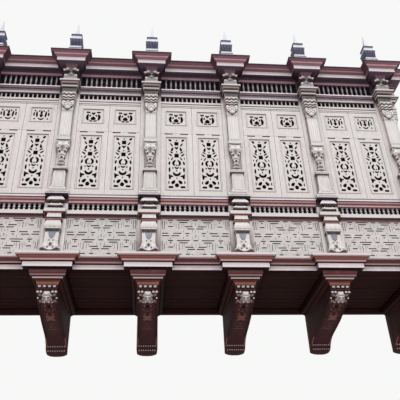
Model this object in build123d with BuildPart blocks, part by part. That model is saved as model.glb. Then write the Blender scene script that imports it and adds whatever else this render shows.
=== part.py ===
from build123d import *
from math import atan, degrees
import os

# An enclosed timber balcony of pierced screens that hangs on a house wall.
# Millimetres. X runs along the wall, -Y points out to the street, Z is up.
# The origin is the middle of the back face of the wall ledger.

# Plan
bay = 1450
bay_count = 5
depth = 1570
corner_offset = 150
frame_thickness = 80
post_half = 181
wall_post_width = 150

# Heights of the courses, from the ledger's middle up
base_fascia_height = 84
base_cyma_height = 71
base_edge_height = 42
lattice_height = 708
sill_foot_height = 39
sill_rail_height = 91
sill_fillet_height = 21
sill_row_height = 118
sill_band_height = 71
sill_nosing_height = 86
screen_height = 1927
frieze_low_rail = 128
frieze_low_row = 133
frieze_middle_rail = 170
frieze_tall_row = 282
frieze_top_rail = 115
cornice_fascia_height = 52
cornice_cyma_height = 26
cornice_edge_height = 61

# Base moulding: offsets from the frame's face, and its breaks at the pilasters
base_break = 110
base_break_half = 311
base_fascia_offset = 42
base_cyma_offset = 55
base_cyma_belly = 78
base_cyma_reach = 125
base_edge_offset = 142

# Cornice, with narrower and deeper breaks
cornice_break = 200
cornice_break_half = 164
cornice_fascia_offset = 86
cornice_cyma_offset = 100
cornice_cyma_reach = 170
cornice_edge_offset = 196

# Rails and turned balusters
rail_thickness = 60
sill_rail_projection = 44
sill_nosing_projection = 40
frieze_rail_projection = 10
small_baluster_count = 13
small_baluster_width = 34
tall_baluster_count = 11
tall_baluster_width = 52
tall_baluster_end = 26
tall_baluster_swell_drop = 96

# Laths of the parapet and the slots between them
lattice_thickness = 30
lattice_recess = 12
knot_pitch = 385
knot_rise = 361
knot_drop = 121
first_knot = 155
slot_height = 13
slot_rise = 20
slot_start = 36
slot_length = 131

# Screen leaves, with a tall panel under a square one
leaf_thickness = 45
leaf_gap = 4
leaf_clearance = 2
panel_inner_edge = 105
panel_outer_margin = 92
panel_recess = 14
ring_width = 24
ring_projection = 12
tall_panel_rise = 106
tall_panel_height = 1118
square_panel_drop = 103
square_panel_height = 324
flower_size = 52
flower_heights = (704, 979)
slot_pair_half = 121
slot_pair_height = 478
slot_pair_length = 170
slot_pair_width = 20

# Corbels
corbel_cap_half = 265
corbel_cap_height = 60
corbel_cap_projection = 50
corbel_band_half = 250
corbel_band_height = 30
corbel_band_setback = 18
corbel_neck_half = 215
corbel_neck_height = 30
corbel_neck_setback = 45
corbel_body_half = 155
corbel_cove_height = 85
corbel_dentil_height = 81
corbel_body_setback = 65
corbel_chin_setback = 266
corbel_scroll_setback = 396
corbel_rib_setback = 800
corbel_foot_half = 171
corbel_foot_height = 792

# Ledger, floor and roof boards
ledger_height = 170
ledger_thickness = 80
soffit_thickness = 20
floor_deck_thickness = 40
joist_width = 120
batten_width = 45
batten_thickness = 14
front_batten_setback = 200
wall_batten_setbacks = (90, 260, 390, 840)
plate_height = 170
plate_thickness = 80
roof_thickness = 40

# Finials
finial_setback = 60
finial_half = 100
finial_pedestal_height = 365
finial_slab_half = 120
finial_slab_height = 50
finial_collar_half = 106
finial_collar_height = 40
finial_plinth_half = 112
finial_plinth_height = 65
finial_body_height = 175
finial_body_top_half = 118
finial_neck_height = 120
finial_neck_half = 78
finial_cap_height = 45
finial_cap_half = 84
finial_spire_height = 315
finial_spire_half = 52
finial_tip_half = 5

# Course levels
base_cyma_bottom = base_fascia_height
base_edge_bottom = base_cyma_bottom + base_cyma_height
base_top = base_edge_bottom + base_edge_height
lattice_top = base_top + lattice_height
sill_rail_bottom = lattice_top + sill_foot_height
sill_rail_top = sill_rail_bottom + sill_rail_height
sill_row_bottom = sill_rail_top + sill_fillet_height
sill_row_top = sill_row_bottom + sill_row_height
sill_nosing_bottom = sill_row_top + sill_band_height
sill_top = sill_nosing_bottom + sill_nosing_height
screen_top = sill_top + screen_height
low_row_bottom = screen_top + frieze_low_rail
low_row_top = low_row_bottom + frieze_low_row
tall_row_bottom = low_row_top + frieze_middle_rail
tall_row_top = tall_row_bottom + frieze_tall_row
frieze_top = tall_row_top + frieze_top_rail
cornice_cyma_bottom = frieze_top + cornice_fascia_height
cornice_edge_bottom = cornice_cyma_bottom + cornice_cyma_height
cornice_top = cornice_edge_bottom + cornice_edge_height

# Places on the plan
screen_y = -depth
inner_y = screen_y + frame_thickness
side_x = bay * bay_count / 2 + corner_offset
inner_x = side_x - frame_thickness
centres = [(i - bay_count / 2) * bay for i in range(bay_count + 1)]
front_bays = [(centres[i] + centres[i + 1]) / 2 for i in range(bay_count)]
front_opening = bay - 2 * post_half
side_centre_y = screen_y + corner_offset
side_start = side_centre_y + post_half
side_opening = -wall_post_width - side_start
side_middle = side_start + side_opening / 2

os.makedirs("parts", exist_ok=True)


def save(part, name):
    """Name a finished piece and write it."""
    part.label = name
    export_step(part, f"parts/{name}.step")


def turned(part, sign):
    """Turn a front bay's piece to the left (-1) or right (+1) side."""
    place = Location((sign * side_x, side_middle, 0), (0, 0, sign * 90))
    return place * Location((0, depth, 0)) * part


# Base moulding and cornice


def broken_outline(offset, forward, half):
    """Points of the outer plan line, wall to wall, breaking forward at each pilaster."""
    face = screen_y - offset
    side = side_x + offset
    points = []
    for centre in centres[1:-1]:
        left = centre - half - offset
        right = centre + half + offset
        points += [(left, face), (left, face - forward), (right, face - forward), (right, face)]
    last = centres[-1]
    corner = [(last - half - offset, face), (last - half - offset, face - forward)]
    if last + half < side_x + forward:
        corner += [(last + half + offset, face - forward), (last + half + offset, face)]
        corner += [(side + forward, face)]
    else:
        corner += [(side + forward, face - forward)]
    side_end = side_centre_y + half + offset
    corner += [(side + forward, side_end), (side, side_end), (side, 0)]
    mirrored = [(-x, y) for x, y in reversed(corner)]
    return mirrored + points + corner


def broken_moulding(levels, forward, half):
    """A moulding round three sides, ruled between levels of (height, offset)."""
    with BuildPart() as ring:
        for low, high in zip(levels, levels[1:]):
            if low[0] == high[0]:
                continue
            for height, offset in (low, high):
                with BuildSketch(Plane.XY.offset(height)):
                    Polygon(*broken_outline(offset, forward, half), align=None)
            loft(ruled=True)
        low = levels[0][0]
        high = levels[-1][0]
        with BuildSketch(Plane.XY.offset(low)):
            with Locations((0, inner_y / 2)):
                Rectangle(2 * inner_x, -inner_y)
        extrude(amount=high - low, mode=Mode.SUBTRACT)
    return ring.part


def mitred(ring, name):
    """Part a three-sided moulding at its corners and save the lengths."""
    right_mitre = Plane(origin=(side_x, screen_y, 0), z_dir=(1, 1, 0))
    left_mitre = Plane(origin=(-side_x, screen_y, 0), z_dir=(-1, 1, 0))
    front = ring.split(right_mitre, keep=Keep.BOTTOM).split(left_mitre, keep=Keep.BOTTOM)
    save(front, f"{name}_front")
    save(ring.split(right_mitre, keep=Keep.TOP), f"{name}_right")
    save(ring.split(left_mitre, keep=Keep.TOP), f"{name}_left")


base_levels = [
    (0, base_fascia_offset),
    (base_cyma_bottom, base_fascia_offset),
    (base_cyma_bottom, base_cyma_offset),
    (base_cyma_bottom + base_cyma_height * 0.4, base_cyma_belly),
    (base_edge_bottom, base_cyma_reach),
    (base_edge_bottom, base_edge_offset),
    (base_top, base_edge_offset),
]
mitred(broken_moulding(base_levels, base_break, base_break_half), "base_moulding")

cornice_levels = [
    (frieze_top, cornice_fascia_offset),
    (cornice_cyma_bottom, cornice_fascia_offset),
    (cornice_cyma_bottom, cornice_cyma_offset),
    (cornice_edge_bottom, cornice_cyma_reach),
    (cornice_edge_bottom, cornice_edge_offset),
    (cornice_top, cornice_edge_offset),
]
mitred(broken_moulding(cornice_levels, cornice_break, cornice_break_half), "cornice")

# Pilasters: a stack of square-planned mouldings.
# Each level is a height above the named course, a half width, a projection and the swell
# of the moulding that starts there.

bracket_reach = cornice_break + 20
pilaster_courses = (
    (base_top, [
        (0, 149, 128, 0),
        (113, 149, 128, 0),
        (148, 100, 85, 0),
        (437, 99, 84, 0),
        (463, 108, 98, 12),
        (573, 108, 98, 0),
        (603, 105, 76, 0),
    ]),
    (sill_rail_bottom, [
        (0, 105, 72, 0),
        (0, 160, 92, 0),
        (75, 160, 92, 0),
        (86, 106, 82, 16),
    ]),
    (sill_nosing_bottom, [
        (-80, 104, 84, 0),
        (-55, 128, 100, 14),
        (23, 128, 100, 0),
        (23, 177, 118, 0),
    ]),
    (sill_top, [
        (9, 177, 118, 0),
        (29, 130, 92, 0),
        (134, 126, 88, 0),
        (144, 101, 72, 0),
        (434, 101, 72, 0),
        (450, 119, 88, 0),
        (503, 119, 88, 0),
        (514, 68, 50, 0),
        (659, 84, 62, 0),
        (1028, 104, 92, 0),
        (1109, 104, 92, 0),
        (1119, 85, 58, 0),
    ]),
    (frieze_top, [
        (-896, 85, 58, 0),
        (-716, 99, 82, 0),
        (-566, 99, 92, 0),
        (-540, 110, 118, 14),
        (-462, 110, 118, 0),
        (-446, 112, 120, 0),
        (-446, 170, 190, 0),
        (-371, 170, 190, 0),
        (-326, 120, 150, 0),
        (-206, 102, 130, 0),
        (-156, 120, 150, 0),
        (-111, 180, 212, 0),
        (-46, 180, 212, 0),
        (-36, cornice_break_half, bracket_reach, 0),
        (0, cornice_break_half, bracket_reach, 0),
    ]),
)
pilaster_levels = [
    (course + height, half, reach, swell)
    for course, levels in pilaster_courses
    for height, half, reach, swell in levels
]


def outline(plane, column, sign, back):
    """The stack's face from its back line to its half widths (column 1) or projections (column 2)."""
    first = pilaster_levels[0]
    last = pilaster_levels[-1]
    with BuildSketch(plane) as made:
        with BuildLine():
            for low, high in zip(pilaster_levels, pilaster_levels[1:]):
                start = (sign * low[column], low[0])
                end = (sign * high[column], high[0])
                if low[3]:
                    crown = sign * ((low[column] + high[column]) / 2 + low[3])
                    Polyline(start, (crown, (low[0] + high[0]) / 2), end)
                else:
                    Line(start, end)
            Polyline(
                (sign * last[column], last[0]),
                (back, last[0]),
                (back, first[0]),
                (sign * first[column], first[0]),
            )
        make_face()
    return made.sketch


with BuildPart() as stack:
    with BuildSketch(Plane.XZ):
        add(outline(Plane.XY, 1, 1, 0))
        mirror(about=Plane.YZ)
    extrude(amount=bracket_reach + frame_thickness, both=True)
    extrude(outline(Plane.YZ, 2, -1, 10), amount=post_half, both=True, mode=Mode.INTERSECT)

for number, centre in enumerate(centres, start=1):
    sign = 0
    if number == 1:
        sign = -1
    if number == len(centres):
        sign = 1
    post_height = frieze_top - base_top
    with BuildPart() as pilaster:
        with BuildSketch(Plane.XY.offset(base_top)):
            if sign == 0:
                with Locations((centre, screen_y + frame_thickness / 2)):
                    Rectangle(2 * post_half, frame_thickness)
            else:
                outward = Align.MAX if sign > 0 else Align.MIN
                arm = post_half + corner_offset
                with Locations((sign * side_x, screen_y)):
                    Rectangle(arm, arm, align=(outward, Align.MIN))
                with Locations((sign * inner_x, inner_y)):
                    Rectangle(arm, arm, align=(outward, Align.MIN), mode=Mode.SUBTRACT)
        extrude(amount=post_height)
        add(stack.part.moved(Location((centre, screen_y, 0))))
        if sign:
            add(stack.part.moved(Location((sign * side_x, side_centre_y, 0), (0, 0, sign * 90))))
    save(pilaster.part, f"pilaster_{number}")

# Parapet lattices


def lattice(width):
    """One panel of flat laths, pierced by a pair of slots over each knot where laths cross."""
    with BuildPart() as panel:
        with BuildSketch(Plane.XZ.offset(depth - lattice_recess)):
            with Locations((0, base_top + lattice_height / 2)):
                Rectangle(width, lattice_height)
            for column in (-1, 0, 1):
                for row in (0, 1):
                    knot = lattice_top - first_knot - row * knot_rise - abs(column) * knot_drop
                    with Locations((column * knot_pitch, knot + slot_rise)):
                        with GridLocations(2 * slot_start + slot_length, 1, 2, 1):
                            Rectangle(slot_length, slot_height, mode=Mode.SUBTRACT)
        extrude(amount=-lattice_thickness)
    return panel.part


for number, middle in enumerate(front_bays, start=1):
    save(lattice(front_opening).moved(Location((middle, 0, 0))), f"parapet_lattice_{number}")
save(turned(lattice(side_opening), -1), "parapet_lattice_left")
save(turned(lattice(side_opening), 1), "parapet_lattice_right")

# Rails with rows of turned balusters


def rail(width, bottom, top, projection):
    """One rail round the middle of a bay, its front proud of the frame's face."""
    with BuildPart() as made:
        with BuildSketch(Plane.XZ.offset(depth + projection)):
            with Locations((0, (bottom + top) / 2)):
                Rectangle(width, top - bottom)
        extrude(amount=-rail_thickness - projection)
    return made.part


def balusters(width, bottom, top, count, size, end, swell_drop=0):
    """A row between two rails, evenly spaced, each swelling from its end width to its size."""
    height = top - bottom
    swell = height - swell_drop
    with BuildPart() as made:
        with BuildSketch(Plane.XZ.offset(depth - (rail_thickness - size) / 2)):
            with Locations((0, bottom)):
                with GridLocations(width / (count + 1), 1, count, 1):
                    if swell_drop:
                        half_outline = [(end / 2, 0), (size / 2, swell), (end / 2, height)]
                        other_half = [(-x, z) for x, z in reversed(half_outline)]
                        Polygon(*half_outline, *other_half, align=None)
                    else:
                        Rectangle(size, height, align=(Align.CENTER, Align.MIN))
        extrude(amount=-size)
    return made.part


def sill(width):
    """Rail over the lattice, its row of balusters and the moulded sill under the screens."""
    with BuildPart() as made:
        add(rail(width, lattice_top, sill_rail_bottom, 0))
        add(rail(width, sill_rail_bottom, sill_rail_top, sill_rail_projection))
        add(rail(width, sill_rail_top, sill_row_bottom, 0))
        size = small_baluster_width
        add(balusters(width, sill_row_bottom, sill_row_top, small_baluster_count, size, size))
        add(rail(width, sill_row_top, sill_nosing_bottom, 0))
        add(rail(width, sill_nosing_bottom, sill_top, sill_nosing_projection))
    return made.part


def frieze(width):
    """Three rails over the screens with a low and a tall row of balusters between them."""
    with BuildPart() as made:
        add(rail(width, screen_top, low_row_bottom, frieze_rail_projection))
        size = small_baluster_width
        add(balusters(width, low_row_bottom, low_row_top, small_baluster_count, size, size))
        add(rail(width, low_row_top, tall_row_bottom, frieze_rail_projection))
        size = tall_baluster_width
        end = tall_baluster_end
        count = tall_baluster_count
        drop = tall_baluster_swell_drop
        add(balusters(width, tall_row_bottom, tall_row_top, count, size, end, drop))
        add(rail(width, tall_row_top, frieze_top, frieze_rail_projection))
    return made.part


for name, maker in (("sill", sill), ("frieze", frieze)):
    row = maker(front_opening)
    save(Compound(children=[row.moved(Location((x, 0, 0))) for x in front_bays]), f"{name}_front")
    side_row = maker(side_opening)
    save(turned(side_row, -1), f"{name}_left")
    save(turned(side_row, 1), f"{name}_right")

# Screens


def screen(width):
    """A pair of leaves that meet in the middle of a bay."""
    inner = leaf_gap / 2
    outer = width / 2 - leaf_clearance
    panel_outer = width / 2 - panel_outer_margin
    panel_width = panel_outer - panel_inner_edge
    panel_x = (panel_inner_edge + panel_outer) / 2
    tall_bottom = sill_top + tall_panel_rise
    square_top = screen_top - square_panel_drop
    panels = (
        (tall_bottom + tall_panel_height / 2, tall_panel_height),
        (square_top - square_panel_height / 2, square_panel_height),
    )
    with BuildPart() as leaf:
        with BuildSketch(Plane.XZ.offset(depth)):
            with Locations(((inner + outer) / 2, (sill_top + screen_top) / 2)):
                Rectangle(outer - inner, screen_height)
        extrude(amount=-leaf_thickness)
        for panel_z, height in panels:
            with BuildSketch(Plane.XZ.offset(depth)):
                with Locations((panel_x, panel_z)):
                    Rectangle(panel_width, height)
            extrude(amount=-panel_recess, mode=Mode.SUBTRACT)
            with BuildSketch(Plane.XZ.offset(depth)):
                with Locations((panel_x, panel_z)):
                    Rectangle(panel_width + 2 * ring_width, height + 2 * ring_width)
                    Rectangle(panel_width, height, mode=Mode.SUBTRACT)
            extrude(amount=ring_projection)
        with BuildSketch(Plane.XZ.offset(depth)):
            flowers = [tall_bottom + height for height in flower_heights]
            with Locations(*[(panel_x, z) for z in flowers + [panels[1][0]]]):
                Rectangle(flower_size, flower_size, rotation=45)
            with Locations((panel_x, tall_bottom + slot_pair_height)):
                with GridLocations(2 * slot_pair_half, 1, 2, 1):
                    Rectangle(slot_pair_width, slot_pair_length)
        extrude(amount=-leaf_thickness, mode=Mode.SUBTRACT)
    return Compound(children=[leaf.part, mirror(leaf.part, about=Plane.YZ)])


for number, middle in enumerate(front_bays, start=1):
    save(screen(front_opening).moved(Location((middle, 0, 0))), f"screen_{number}")
save(turned(screen(side_opening), -1), "screen_left")
save(turned(screen(side_opening), 1), "screen_right")

# Corbels: the side view runs from the cap's front edge under the head and the scroll to the wall

cap_front = screen_y - corbel_cap_projection
band_front = cap_front + corbel_band_setback
neck_front = cap_front + corbel_neck_setback
band_top = -corbel_cap_height
neck_top = band_top - corbel_band_height
cove_top = neck_top - corbel_neck_height
dentil_top = cove_top - corbel_cove_height
head_top = dentil_top - corbel_dentil_height
ledger_bottom = -ledger_height / 2
body_front = screen_y + corbel_body_setback
chin = (screen_y + corbel_chin_setback, head_top - 110)
scroll = (screen_y + corbel_scroll_setback, head_top - 132)
rib_start = (screen_y + corbel_rib_setback, head_top - 230)
belly_end = (-310, head_top - 299)
toe_top = (-122, head_top - 454)
toe_bottom = (-80, -corbel_foot_height)

with BuildPart() as corbel:
    with BuildSketch(Plane.YZ):
        with BuildLine():
            Polyline(
                (-ledger_thickness, 0),
                (cap_front, 0),
                (cap_front, band_top),
                (band_front, band_top),
                (band_front, neck_top),
                (neck_front, neck_top),
                (neck_front, cove_top),
                (body_front, dentil_top),
                (body_front, head_top),
                (body_front + 40, head_top - 16),
                chin,
                scroll,
            )
            Polyline(scroll, ((scroll[0] + rib_start[0]) / 2, head_top - 190), rib_start)
            Polyline(rib_start, ((rib_start[0] + belly_end[0]) / 2, head_top - 262), belly_end)
            Polyline(
                belly_end,
                (-175, head_top - 350),
                toe_top,
                toe_bottom,
                (0, -corbel_foot_height),
                (0, ledger_bottom),
                (-ledger_thickness, ledger_bottom),
                (-ledger_thickness, 0),
            )
        make_face()
    extrude(amount=corbel_cap_half, both=True)
    with BuildSketch(Plane.XZ):
        with BuildLine():
            Polyline(
                (0, 0),
                (corbel_cap_half, 0),
                (corbel_cap_half, band_top),
                (corbel_band_half, band_top),
                (corbel_band_half, neck_top),
                (corbel_neck_half, neck_top),
                (corbel_neck_half, cove_top),
                (corbel_body_half, dentil_top),
                (corbel_body_half, belly_end[1]),
                (corbel_foot_half, toe_top[1]),
                (corbel_foot_half * 0.88, -corbel_foot_height),
                (0, -corbel_foot_height),
                (0, 0),
            )
        make_face()
        mirror(about=Plane.YZ)
    extrude(amount=depth + corbel_cap_projection, both=True, mode=Mode.INTERSECT)

for number, centre in enumerate(centres, start=1):
    save(corbel.part.moved(Location((centre, 0, 0))), f"corbel_{number}")

# Wall ledger, soffit boards with their battens, joists and floor

with BuildPart() as wall_ledger:
    with Locations((0, -ledger_thickness / 2, 0)):
        Box(2 * inner_x, ledger_thickness, ledger_height)
save(wall_ledger.part, "wall_ledger")

floor_depth = -inner_y - ledger_thickness
from_ledger = (Align.CENTER, Align.MAX, Align.MIN)
with BuildPart() as soffit_boards:
    with Locations((0, -ledger_thickness, 0)):
        Box(2 * inner_x, floor_depth, soffit_thickness, align=from_ledger)
save(soffit_boards.part, "soffit_boards")

batten_length = bay - 2 * corbel_cap_half
with BuildPart() as batten:
    Box(batten_length, batten_width, batten_thickness, align=(Align.CENTER, Align.CENTER, Align.MAX))
batten_rows = [screen_y + front_batten_setback]
batten_rows += [-ledger_thickness - setback for setback in wall_batten_setbacks]
spots = [(x, y) for x in front_bays for y in batten_rows]
save(Compound(children=[batten.part.moved(Location((x, y, 0))) for x, y in spots]), "soffit_battens")

joist_height = ledger_height / 2 - soffit_thickness
with BuildPart() as floor_joists:
    with Locations(*[(x, -ledger_thickness, soffit_thickness) for x in centres]):
        Box(joist_width, floor_depth, joist_height, align=from_ledger)
save(floor_joists.part, "floor_joists")

with BuildPart() as floor_deck:
    with Locations((0, 0, ledger_height / 2)):
        Box(2 * inner_x, -inner_y, floor_deck_thickness, align=from_ledger)
save(floor_deck.part, "floor_deck")

# Roof deck, wall plate and wall posts

with BuildPart() as roof_deck:
    with Locations((0, 0, cornice_top - roof_thickness)):
        Box(2 * inner_x, -inner_y, roof_thickness, align=from_ledger)
save(roof_deck.part, "roof_deck")

with BuildPart() as wall_plate:
    with Locations((0, 0, cornice_top - roof_thickness - plate_height)):
        Box(2 * inner_x, plate_thickness, plate_height, align=from_ledger)
save(wall_plate.part, "wall_plate")

for sign, side in ((-1, "left"), (1, "right")):
    with BuildPart() as wall_post:
        with Locations((sign * (side_x + inner_x) / 2, 0, base_top)):
            Box(frame_thickness, wall_post_width, frieze_top - base_top, align=from_ledger)
    save(wall_post.part, f"wall_post_{side}")

# Finials: pedestal, slab, collar, plinth, flaring body, sloping neck, cap and spire


def slope(bottom_half, top_half, height):
    """How far the sides lean in, in degrees, between two half widths."""
    return degrees(atan((bottom_half - top_half) / height))


with BuildPart() as finial:
    upright = (Align.CENTER, Align.CENTER, Align.MIN)
    level = 0
    for half, height in (
        (finial_half, finial_pedestal_height),
        (finial_slab_half, finial_slab_height),
        (finial_collar_half, finial_collar_height),
        (finial_plinth_half, finial_plinth_height),
    ):
        with Locations((0, 0, level)):
            Box(2 * half, 2 * half, height, align=upright)
        level += height
    for half, top_half, height in (
        (finial_half, finial_body_top_half, finial_body_height),
        (finial_body_top_half, finial_neck_half, finial_neck_height),
        (finial_cap_half, finial_cap_half, finial_cap_height),
        (finial_spire_half, finial_tip_half, finial_spire_height),
    ):
        with BuildSketch(Plane.XY.offset(level)):
            Rectangle(2 * half, 2 * half)
        extrude(amount=height, taper=slope(half, top_half, height))
        level += height

finial_y = screen_y + finial_setback
finials = [finial.part.moved(Location((x, finial_y, cornice_top))) for x in centres]
save(Compound(children=finials), "finials")
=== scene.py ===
import bpy
import bmesh
import math
import numpy as np
from mathutils import Matrix, Vector


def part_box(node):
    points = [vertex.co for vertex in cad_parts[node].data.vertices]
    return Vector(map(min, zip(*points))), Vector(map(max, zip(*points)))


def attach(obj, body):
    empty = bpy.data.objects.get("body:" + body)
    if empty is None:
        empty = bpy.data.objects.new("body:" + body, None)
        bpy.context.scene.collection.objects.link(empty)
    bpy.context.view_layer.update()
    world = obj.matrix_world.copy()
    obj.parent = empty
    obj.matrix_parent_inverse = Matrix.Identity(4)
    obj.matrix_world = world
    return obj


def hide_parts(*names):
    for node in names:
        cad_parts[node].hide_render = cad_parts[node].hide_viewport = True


# Timber screen balcony: every shape is worked out in millimetres and scaled once, in addPiece.

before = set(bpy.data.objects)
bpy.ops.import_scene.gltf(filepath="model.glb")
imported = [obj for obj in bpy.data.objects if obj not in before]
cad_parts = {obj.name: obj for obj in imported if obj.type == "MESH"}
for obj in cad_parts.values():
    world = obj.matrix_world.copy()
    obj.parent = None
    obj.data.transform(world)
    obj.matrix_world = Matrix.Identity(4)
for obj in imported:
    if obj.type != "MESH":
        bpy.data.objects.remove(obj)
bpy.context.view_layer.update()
print("frame loaded:", len(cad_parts), "nodes")


# Sizes taken from the frame

def nodeBox(name):
    low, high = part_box(name)
    return np.array(low) * 1000, np.array(high) * 1000


latticeRecess = 12
frameThickness = 80
postLow, postHigh = nodeBox("pilaster_3")
nextLow, nextHigh = nodeBox("pilaster_4")
latticeLow, latticeHigh = nodeBox("parapet_lattice_3")
sideLow, sideHigh = nodeBox("parapet_lattice_right")
sillTop = nodeBox("sill_front")[1][2]
screenTop = nodeBox("frieze_front")[0][2]
corniceTop = nodeBox("cornice_front")[1][2]
finialLow, finialHigh = nodeBox("finials")

bay = (nextLow + nextHigh - postLow - postHigh)[0] / 2
screenY = latticeLow[1] - latticeRecess
depth = -screenY
postHalf = (postHigh - postLow)[0] / 2
opening = (latticeHigh - latticeLow)[0]
sideX = sideHigh[0] + latticeRecess
sideMiddle = (sideLow + sideHigh)[1] / 2
innerX = sideX - frameThickness
innerY = screenY + frameThickness
baseTop = postLow[2]
latticeTop = latticeHigh[2]
friezeTop = postHigh[2]
centres = [bay * (i - 2.5) for i in range(6)]
bays = [bay * (i - 2) for i in range(5)]
sideCentreY = screenY + (sideX + centres[0])
gap = 0.5  # left between neighbouring pieces


# Shapes: points with a tone each (above 0 darker as painted shade, below 0 paler as painted highlight), face
# corners, corners per face, and a finish number per face

def withTone(points):
    points = np.asarray(points, float)
    if points.shape[-1] == 3:
        points = np.concatenate([points, np.zeros(points.shape[:-1] + (1,))], -1)
    return points


def joined(shapes):
    # one shape after another, with each one's corner numbers moved on by the points before it
    counts = np.cumsum([0] + [len(s[0]) for s in shapes[:-1]])
    points = np.concatenate([s[0] for s in shapes])
    loops = np.concatenate([s[1] + count for s, count in zip(shapes, counts)])
    return points, loops, np.concatenate([s[2] for s in shapes]), np.concatenate([s[3] for s in shapes])


def moved(part, x=0, y=0, z=0):
    return part[0] + np.array([x, y, z, 0]), part[1], part[2], part[3]


def turned(part, matrix):
    # every point times a 3 x 3 turning matrix
    points = part[0].copy()
    points[:, :3] = points[:, :3] @ np.array(matrix, float).T
    return points, part[1], part[2], part[3]


def mirrored(part):
    # x changes sign, and the corners run backwards so that faces still point outwards
    return part[0] * [-1, 1, 1, 1], part[1][::-1], part[2][::-1], part[3][::-1]


def repeated(part, places):
    # one copy of the shape at each place
    return joined([moved(part, *place) for place in places])


def toSide(part, sign):
    # a front bay's piece, turned a quarter and set on the left or right side
    x, y, z, tone = part[0].T
    points = np.stack([sign * (sideX - y - depth), sideMiddle + sign * x, z, tone], 1)
    return points, part[1], part[2], part[3]


def grid(points, caps=True, finish=0):
    # points is rows x columns x 3 or 4: a quad joins each point to its right and upper neighbours, and
    # the last column closes on the first
    points = withTone(points)
    rows, columns = points.shape[:2]
    index = np.arange(rows * columns).reshape(rows, columns)
    right = np.roll(index, -1, axis=1)
    quads = np.stack([index[:-1], right[:-1], right[1:], index[1:]], -1).reshape(-1, 4)
    loops = [quads.ravel()]
    sizes = [np.full(len(quads), 4)]
    finishes = [(np.zeros((rows - 1, columns), int) + finish).ravel()]
    if caps:
        loops += [index[0][::-1], index[-1]]
        sizes.append([columns, columns])
        finishes.append([finishes[0][0], finishes[0][-1]])
    return points.reshape(-1, 4), np.concatenate(loops), np.concatenate(sizes), np.concatenate(finishes)


def board(x0, x1, y0, y1, z0, z1, bevel=3, finish=0, stations=()):
    # a board with its long edges eased: an eight-cornered section from z0 to z1 with smaller ends,
    # and a row at each (height, tone) station between them
    def ring(inset, z, tone=0.0):
        a, b, c, d = x0 + inset, x1 - inset, y0 + inset, y1 - inset
        e = bevel
        return [
            (a + e, c, z, tone), (b - e, c, z, tone), (b, c + e, z, tone), (b, d - e, z, tone),
            (b - e, d, z, tone), (a + e, d, z, tone), (a, d - e, z, tone), (a, c + e, z, tone),
        ]
    rows = [ring(bevel, z0), ring(0, z0 + bevel)] + [ring(0, z, tone) for z, tone in stations]
    return grid(np.array(rows + [ring(0, z1 - bevel), ring(bevel, z1)]), finish=finish)


def lathe(profile, sides):
    # rows of radius, height and tone turned about the upright axis
    radius, height, tone = np.asarray(profile, float).T[:, :, None]
    angle = np.linspace(0, 2 * math.pi, sides, endpoint=False)
    flat = 0 * angle
    return grid(np.stack([radius * np.cos(angle), radius * np.sin(angle), height + flat, tone + flat], -1))


def lengthOf(profile, x0, x1, finish=0):
    # a closed section of (y, z) points carried straight from x0 to x1
    profile = np.asarray(profile, float)
    rows = [np.column_stack([np.full(len(profile), x), profile]) for x in (x0, x1)]
    return grid(np.array(rows), finish=np.asarray(finish)[None] if np.ndim(finish) else finish)


metresPerUnit = 0.001
weldWithin = 0.00002  # metres


def addPiece(name, part, finishes, nodes=(), smooth=35, slot="pale_varnish"):
    # scales to metres, welds, points every face outwards and hands the piece to the frame
    mesh = bpy.data.meshes.new(name)
    points, loops, sizes, numbers = part
    mesh.vertices.add(len(points))
    mesh.vertices.foreach_set("co", (points[:, :3] * metresPerUnit).astype(np.float32).ravel())
    mesh.loops.add(len(loops))
    mesh.loops.foreach_set("vertex_index", loops.astype(np.int32))
    mesh.polygons.add(len(sizes))
    mesh.polygons.foreach_set("loop_start", (np.cumsum(sizes) - sizes).astype(np.int32))
    mesh.polygons.foreach_set("material_index", np.asarray(numbers).astype(np.int32))
    mesh.update(calc_edges=True)
    tone = mesh.attributes.new("tone", "FLOAT", "POINT")
    tone.data.foreach_set("value", points[:, 3].astype(np.float32))
    mesh.validate()
    work = bmesh.new()
    work.from_mesh(mesh)
    bmesh.ops.remove_doubles(work, verts=work.verts, dist=weldWithin)
    bmesh.ops.dissolve_degenerate(work, dist=weldWithin / 2, edges=work.edges)
    bmesh.ops.recalc_face_normals(work, faces=work.faces)
    work.to_mesh(mesh)
    work.free()
    for finish in finishes:
        mesh.materials.append(finish)
    mesh.polygons.foreach_set("use_smooth", np.ones(len(mesh.polygons), bool))
    mesh.set_sharp_from_angle(angle=math.radians(smooth))
    piece = bpy.data.objects.new(name, mesh)
    bpy.context.scene.collection.objects.link(piece)
    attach(piece, "root")
    if nodes:
        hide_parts(*nodes)


def inPlaceOf(node, part, finishes, **more):
    # the piece that shows where one of the frame's nodes stood
    addPiece(f"{node}_made", part, finishes, [node], **more)


def numbered(node, parts, finishes, **more):
    for number, part in enumerate(parts, start=1):
        inPlaceOf(f"{node}_{number}", part, finishes, **more)


def onBothSides(node, part, finishes, **more):
    # the same front piece set on the left and the right side
    for sign, side in ((-1, "left"), (1, "right")):
        inPlaceOf(f"{node}_{side}", toSide(part, sign), finishes, **more)


def copiesAt(places, part):
    # the part moved to each place along the front
    return [moved(part, x=x) for x in places]


# Finishes

def plug(tree, value, socket):
    # gives an input a plain value or a link
    if isinstance(value, Link):
        tree.links.new(value.socket, socket)
    else:
        socket.default_value = value


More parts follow.
